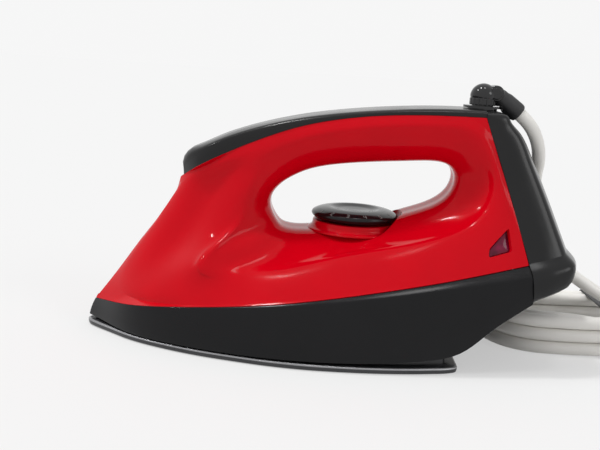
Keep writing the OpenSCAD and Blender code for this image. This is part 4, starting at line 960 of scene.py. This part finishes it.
def bar(at, on_slope, a, b):
    """A thin raised stroke between two points of the dial's slope."""
    along = Vector((b[0] - a[0], b[1] - a[1])).normalized()
    side = Vector((-along.y, along.x)) * STROKE_HALF_W
    corners = ((side, STROKE_SINK), (side, STROKE_RISE), (-side, STROKE_RISE), (-side, STROKE_SINK))
    points = []
    for k in range(STROKE_STEPS + 1):
        across, out = mix(a[0], b[0], k / STROKE_STEPS), mix(a[1], b[1], k / STROKE_STEPS)
        points += [at @ on_slope(across + w.x, out + w.y, lift) for w, lift in corners]
    return points, closed(STROKE_STEPS + 1, len(corners))


make_dial()

# Cord swivel: turret, knuckle and guard
FLANGE_R, TURRET_R, KNUCKLE_R, GUARD_R, STEM_R = 9.5, 6.6, 4, 4.8, 5.2
TURRET_Z, DOME_Z = HANDLE_H + 1.8, HANDLE_H + 5.9
FLUTE_DEPTH, FLUTES = 0.45, 18


def make_swivel():
    """The turret with its fluted foot, its dome and the knuckle at its side."""
    place = Matrix.Translation(vec(SWIVEL_X, 0, 0))
    profile = [(0, HANDLE_H - 4), (STEM_R, HANDLE_H - 4), (STEM_R, TURRET_Z), (TURRET_R - 0.3, TURRET_Z),
               (TURRET_R, TURRET_Z + 0.4), (TURRET_R, TURRET_Z + 3), (TURRET_R - 0.35, TURRET_Z + 3.5),
               (TURRET_R - 0.1, DOME_Z)]
    profile += [(TURRET_R * cos(radians(a)), DOME_Z + TURRET_R * sin(radians(a))) for a in range(8, 90, 8)]
    profile.append((0, DOME_Z + TURRET_R))

    def flutes(angle, radius, z):
        return -FLUTE_DEPTH * max(0, cos(FLUTES * angle)) * (TURRET_Z + 0.3 < z < TURRET_Z + 3.3)

    shell = lathe(profile, 144, place, flutes)
    across = turned(KNUCKLE, vec(0, 1, 0), vec(1, 0, 0))
    half = GUARD_R + 0.3
    drum = [(0, -half), (KNUCKLE_R - 1.4, -half), (KNUCKLE_R - 1.2, -half + 0.5), (KNUCKLE_R - 0.5, -half + 0.5),
            (KNUCKLE_R, -half + 1.1), (KNUCKLE_R, half - 1.1), (KNUCKLE_R - 0.5, half - 0.5),
            (KNUCKLE_R - 1.2, half - 0.5), (KNUCKLE_R - 1.4, half), (0, half)]
    piece("turret", *joined(shell, lathe(rounded_profile(drum, 0.35), 64, across)), BLACK, "swivel", "black",
          ["cord_swivel"], 30)


def make_guard():
    """The rubber sleeve on the cord, cut clear of the collar under the turret."""
    place = turned(KNUCKLE, GUARD_WAY, vec(0, 1, 0))
    profile = [(0, 1), (GUARD_R - 0.9, 1), (GUARD_R - 0.5, 3), (GUARD_R - 0.45, 5), (GUARD_R - 0.1, 6.4),
               (GUARD_R, 7.2), (GUARD_R, GUARD_LEN - 1.6), (GUARD_R - 0.3, GUARD_LEN - 0.5),
               (GUARD_R - 0.8, GUARD_LEN), (CORD_R + 0.05, GUARD_LEN), (CORD_R + 0.05, GUARD_LEN - 2),
               (0, GUARD_LEN - 2)]
    guard = piece("guard", *lathe(rounded_profile(profile, 0.5), 64, place), RUBBER, "swivel", "guard",
                  ["cord_guard"], 40)
    cut(guard, *lathe([(0, HANDLE_H - 1), (FLANGE_R + 0.3, HANDLE_H - 1), (FLANGE_R + 0.3, TURRET_Z), (0, TURRET_Z)],
                      64, Matrix.Translation(vec(SWIVEL_X, 0, 0))), 40)


make_swivel()
make_guard()

# Finishes of the pieces that keep their solid shape
FINISHES = {"sole": SOLE, "steel": STEEL, "plate": PLATE, "tube": TUBE, "skirt": SKIRT, "red": RED, "cap": CAP,
            "dial": DIAL, "ceramic": CERAMIC, "brass": BRASS, "copper": COPPER, "brown": BROWN, "blue": BLUE,
            "green": GREEN, "clear": PALE, "neon": NEON, "white": WHITE, "lens": LENS, "black": BLACK,
            "guard": RUBBER, "cord": CORD}
for part in frame["record"]["subparts"]:
    solid, look = frame["nodes"][part["node"]], FINISHES[part["material_slot"]]
    if not solid.material_slots:
        solid.data.materials.append(look)
    for kept in solid.material_slots:
        kept.material = look

# Floor, backdrop and light; the floor's size and place are in metres
BACKGROUND, FLOOR_SHADE, FLOOR_LIFT, WORLD_LIGHT = 0.925, 0.86, 0.5, 0.45
FLOOR_REACH, FLOOR_DROP = 6, 0.0002
# Each sun's name, the way to it, its strength, its angle in degrees and whether glossy surfaces show it. The three
# sparkles light the ridge round the handle, the nose, and the bevel of the skirt.
SUNS = [("key", (-0.6, -0.1, 1), 0.75, 35, False), ("fill", (0.8, -0.5, 0.5), 0.3, 20, True),
        ("sparkle", (-0.36, 0.01, 1), 0.75, 5, True), ("sparkle", (-0.95, -0.05, 1), 0.3, 4, True),
        ("sparkle", (0.06, -0.145, 1), 0.24, 10, True)]


def pale_where_seen(tree, out_type, plain, pale, share):
    """Ends a shader tree in a mix of its plain shader and the pale background, which counts by the given share for
    the camera and in reflections, and never for the light."""
    nodes, links = tree.nodes, tree.links
    set_inputs(pale, {"Color": (BACKGROUND, BACKGROUND, BACKGROUND, 1)})
    seen = nodes.new("ShaderNodeLightPath")
    together = seen.outputs["Is Camera Ray"]
    for kind in ("Is Glossy Ray", "Is Transmission Ray"):
        most = nodes.new("ShaderNodeMath")
        most.operation = "MAXIMUM"
        links.new(together, most.inputs[0])
        links.new(seen.outputs[kind], most.inputs[1])
        together = most.outputs[0]
    scale, blend = nodes.new("ShaderNodeMath"), nodes.new("ShaderNodeMixShader")
    scale.operation = "MULTIPLY"
    set_inputs(scale, {1: share})
    links.new(together, scale.inputs[0])
    for node, socket in ((scale, blend.inputs["Fac"]), (plain, blend.inputs[1]), (pale, blend.inputs[2]),
                         (blend, nodes.new(out_type).inputs["Surface"])):
        links.new(node.outputs[0], socket)


def stage_material():
    """A diffuse floor that takes the shadow, lifted in part to the background's own brightness."""
    material = bpy.data.materials.new("pale floor")
    material.use_nodes = True
    nodes = material.node_tree.nodes
    nodes.clear()
    plain = nodes.new("ShaderNodeBsdfDiffuse")
    set_inputs(plain, {"Color": (FLOOR_SHADE, FLOOR_SHADE, FLOOR_SHADE, 1)})
    pale = nodes.new("ShaderNodeEmission")
    pale_where_seen(material.node_tree, "ShaderNodeOutputMaterial", plain, pale, FLOOR_LIFT)
    return material


def make_stage():
    """The floor, one pale plane."""
    mesh = bpy.data.meshes.new("floor")
    r = FLOOR_REACH
    mesh.from_pydata([(-r, -r, 0), (r, -r, 0), (r, r, 0), (-r, r, 0)], [], [[0, 1, 2, 3]])
    mesh.materials.append(stage_material())
    floor = add_object("floor", mesh)
    floor.location.z = -FLOOR_DROP


def make_world():
    """Soft white light from all round, behind the pale background."""
    world = bpy.data.worlds.new("studio")
    bpy.context.scene.world = world
    world.use_nodes = True
    nodes = world.node_tree.nodes
    nodes.clear()
    light, pale = nodes.new("ShaderNodeBackground"), nodes.new("ShaderNodeBackground")
    set_inputs(light, {"Color": (1, 1, 1, 1), "Strength": WORLD_LIGHT})
    pale_where_seen(world.node_tree, "ShaderNodeOutputWorld", light, pale, 1)


def make_sun(name, way, strength, angle, in_gloss):
    """A far lamp, the softer the wider its angle."""
    data = bpy.data.lights.new(name, "SUN")
    data.energy = strength
    data.angle = radians(angle)
    sun = add_object(name, data)
    sun.matrix_world = Vector(way).to_track_quat("Z", "Y").to_matrix().to_4x4()
    sun.visible_glossy = in_gloss


make_stage()
make_world()
for sun in SUNS:
    make_sun(*sun)
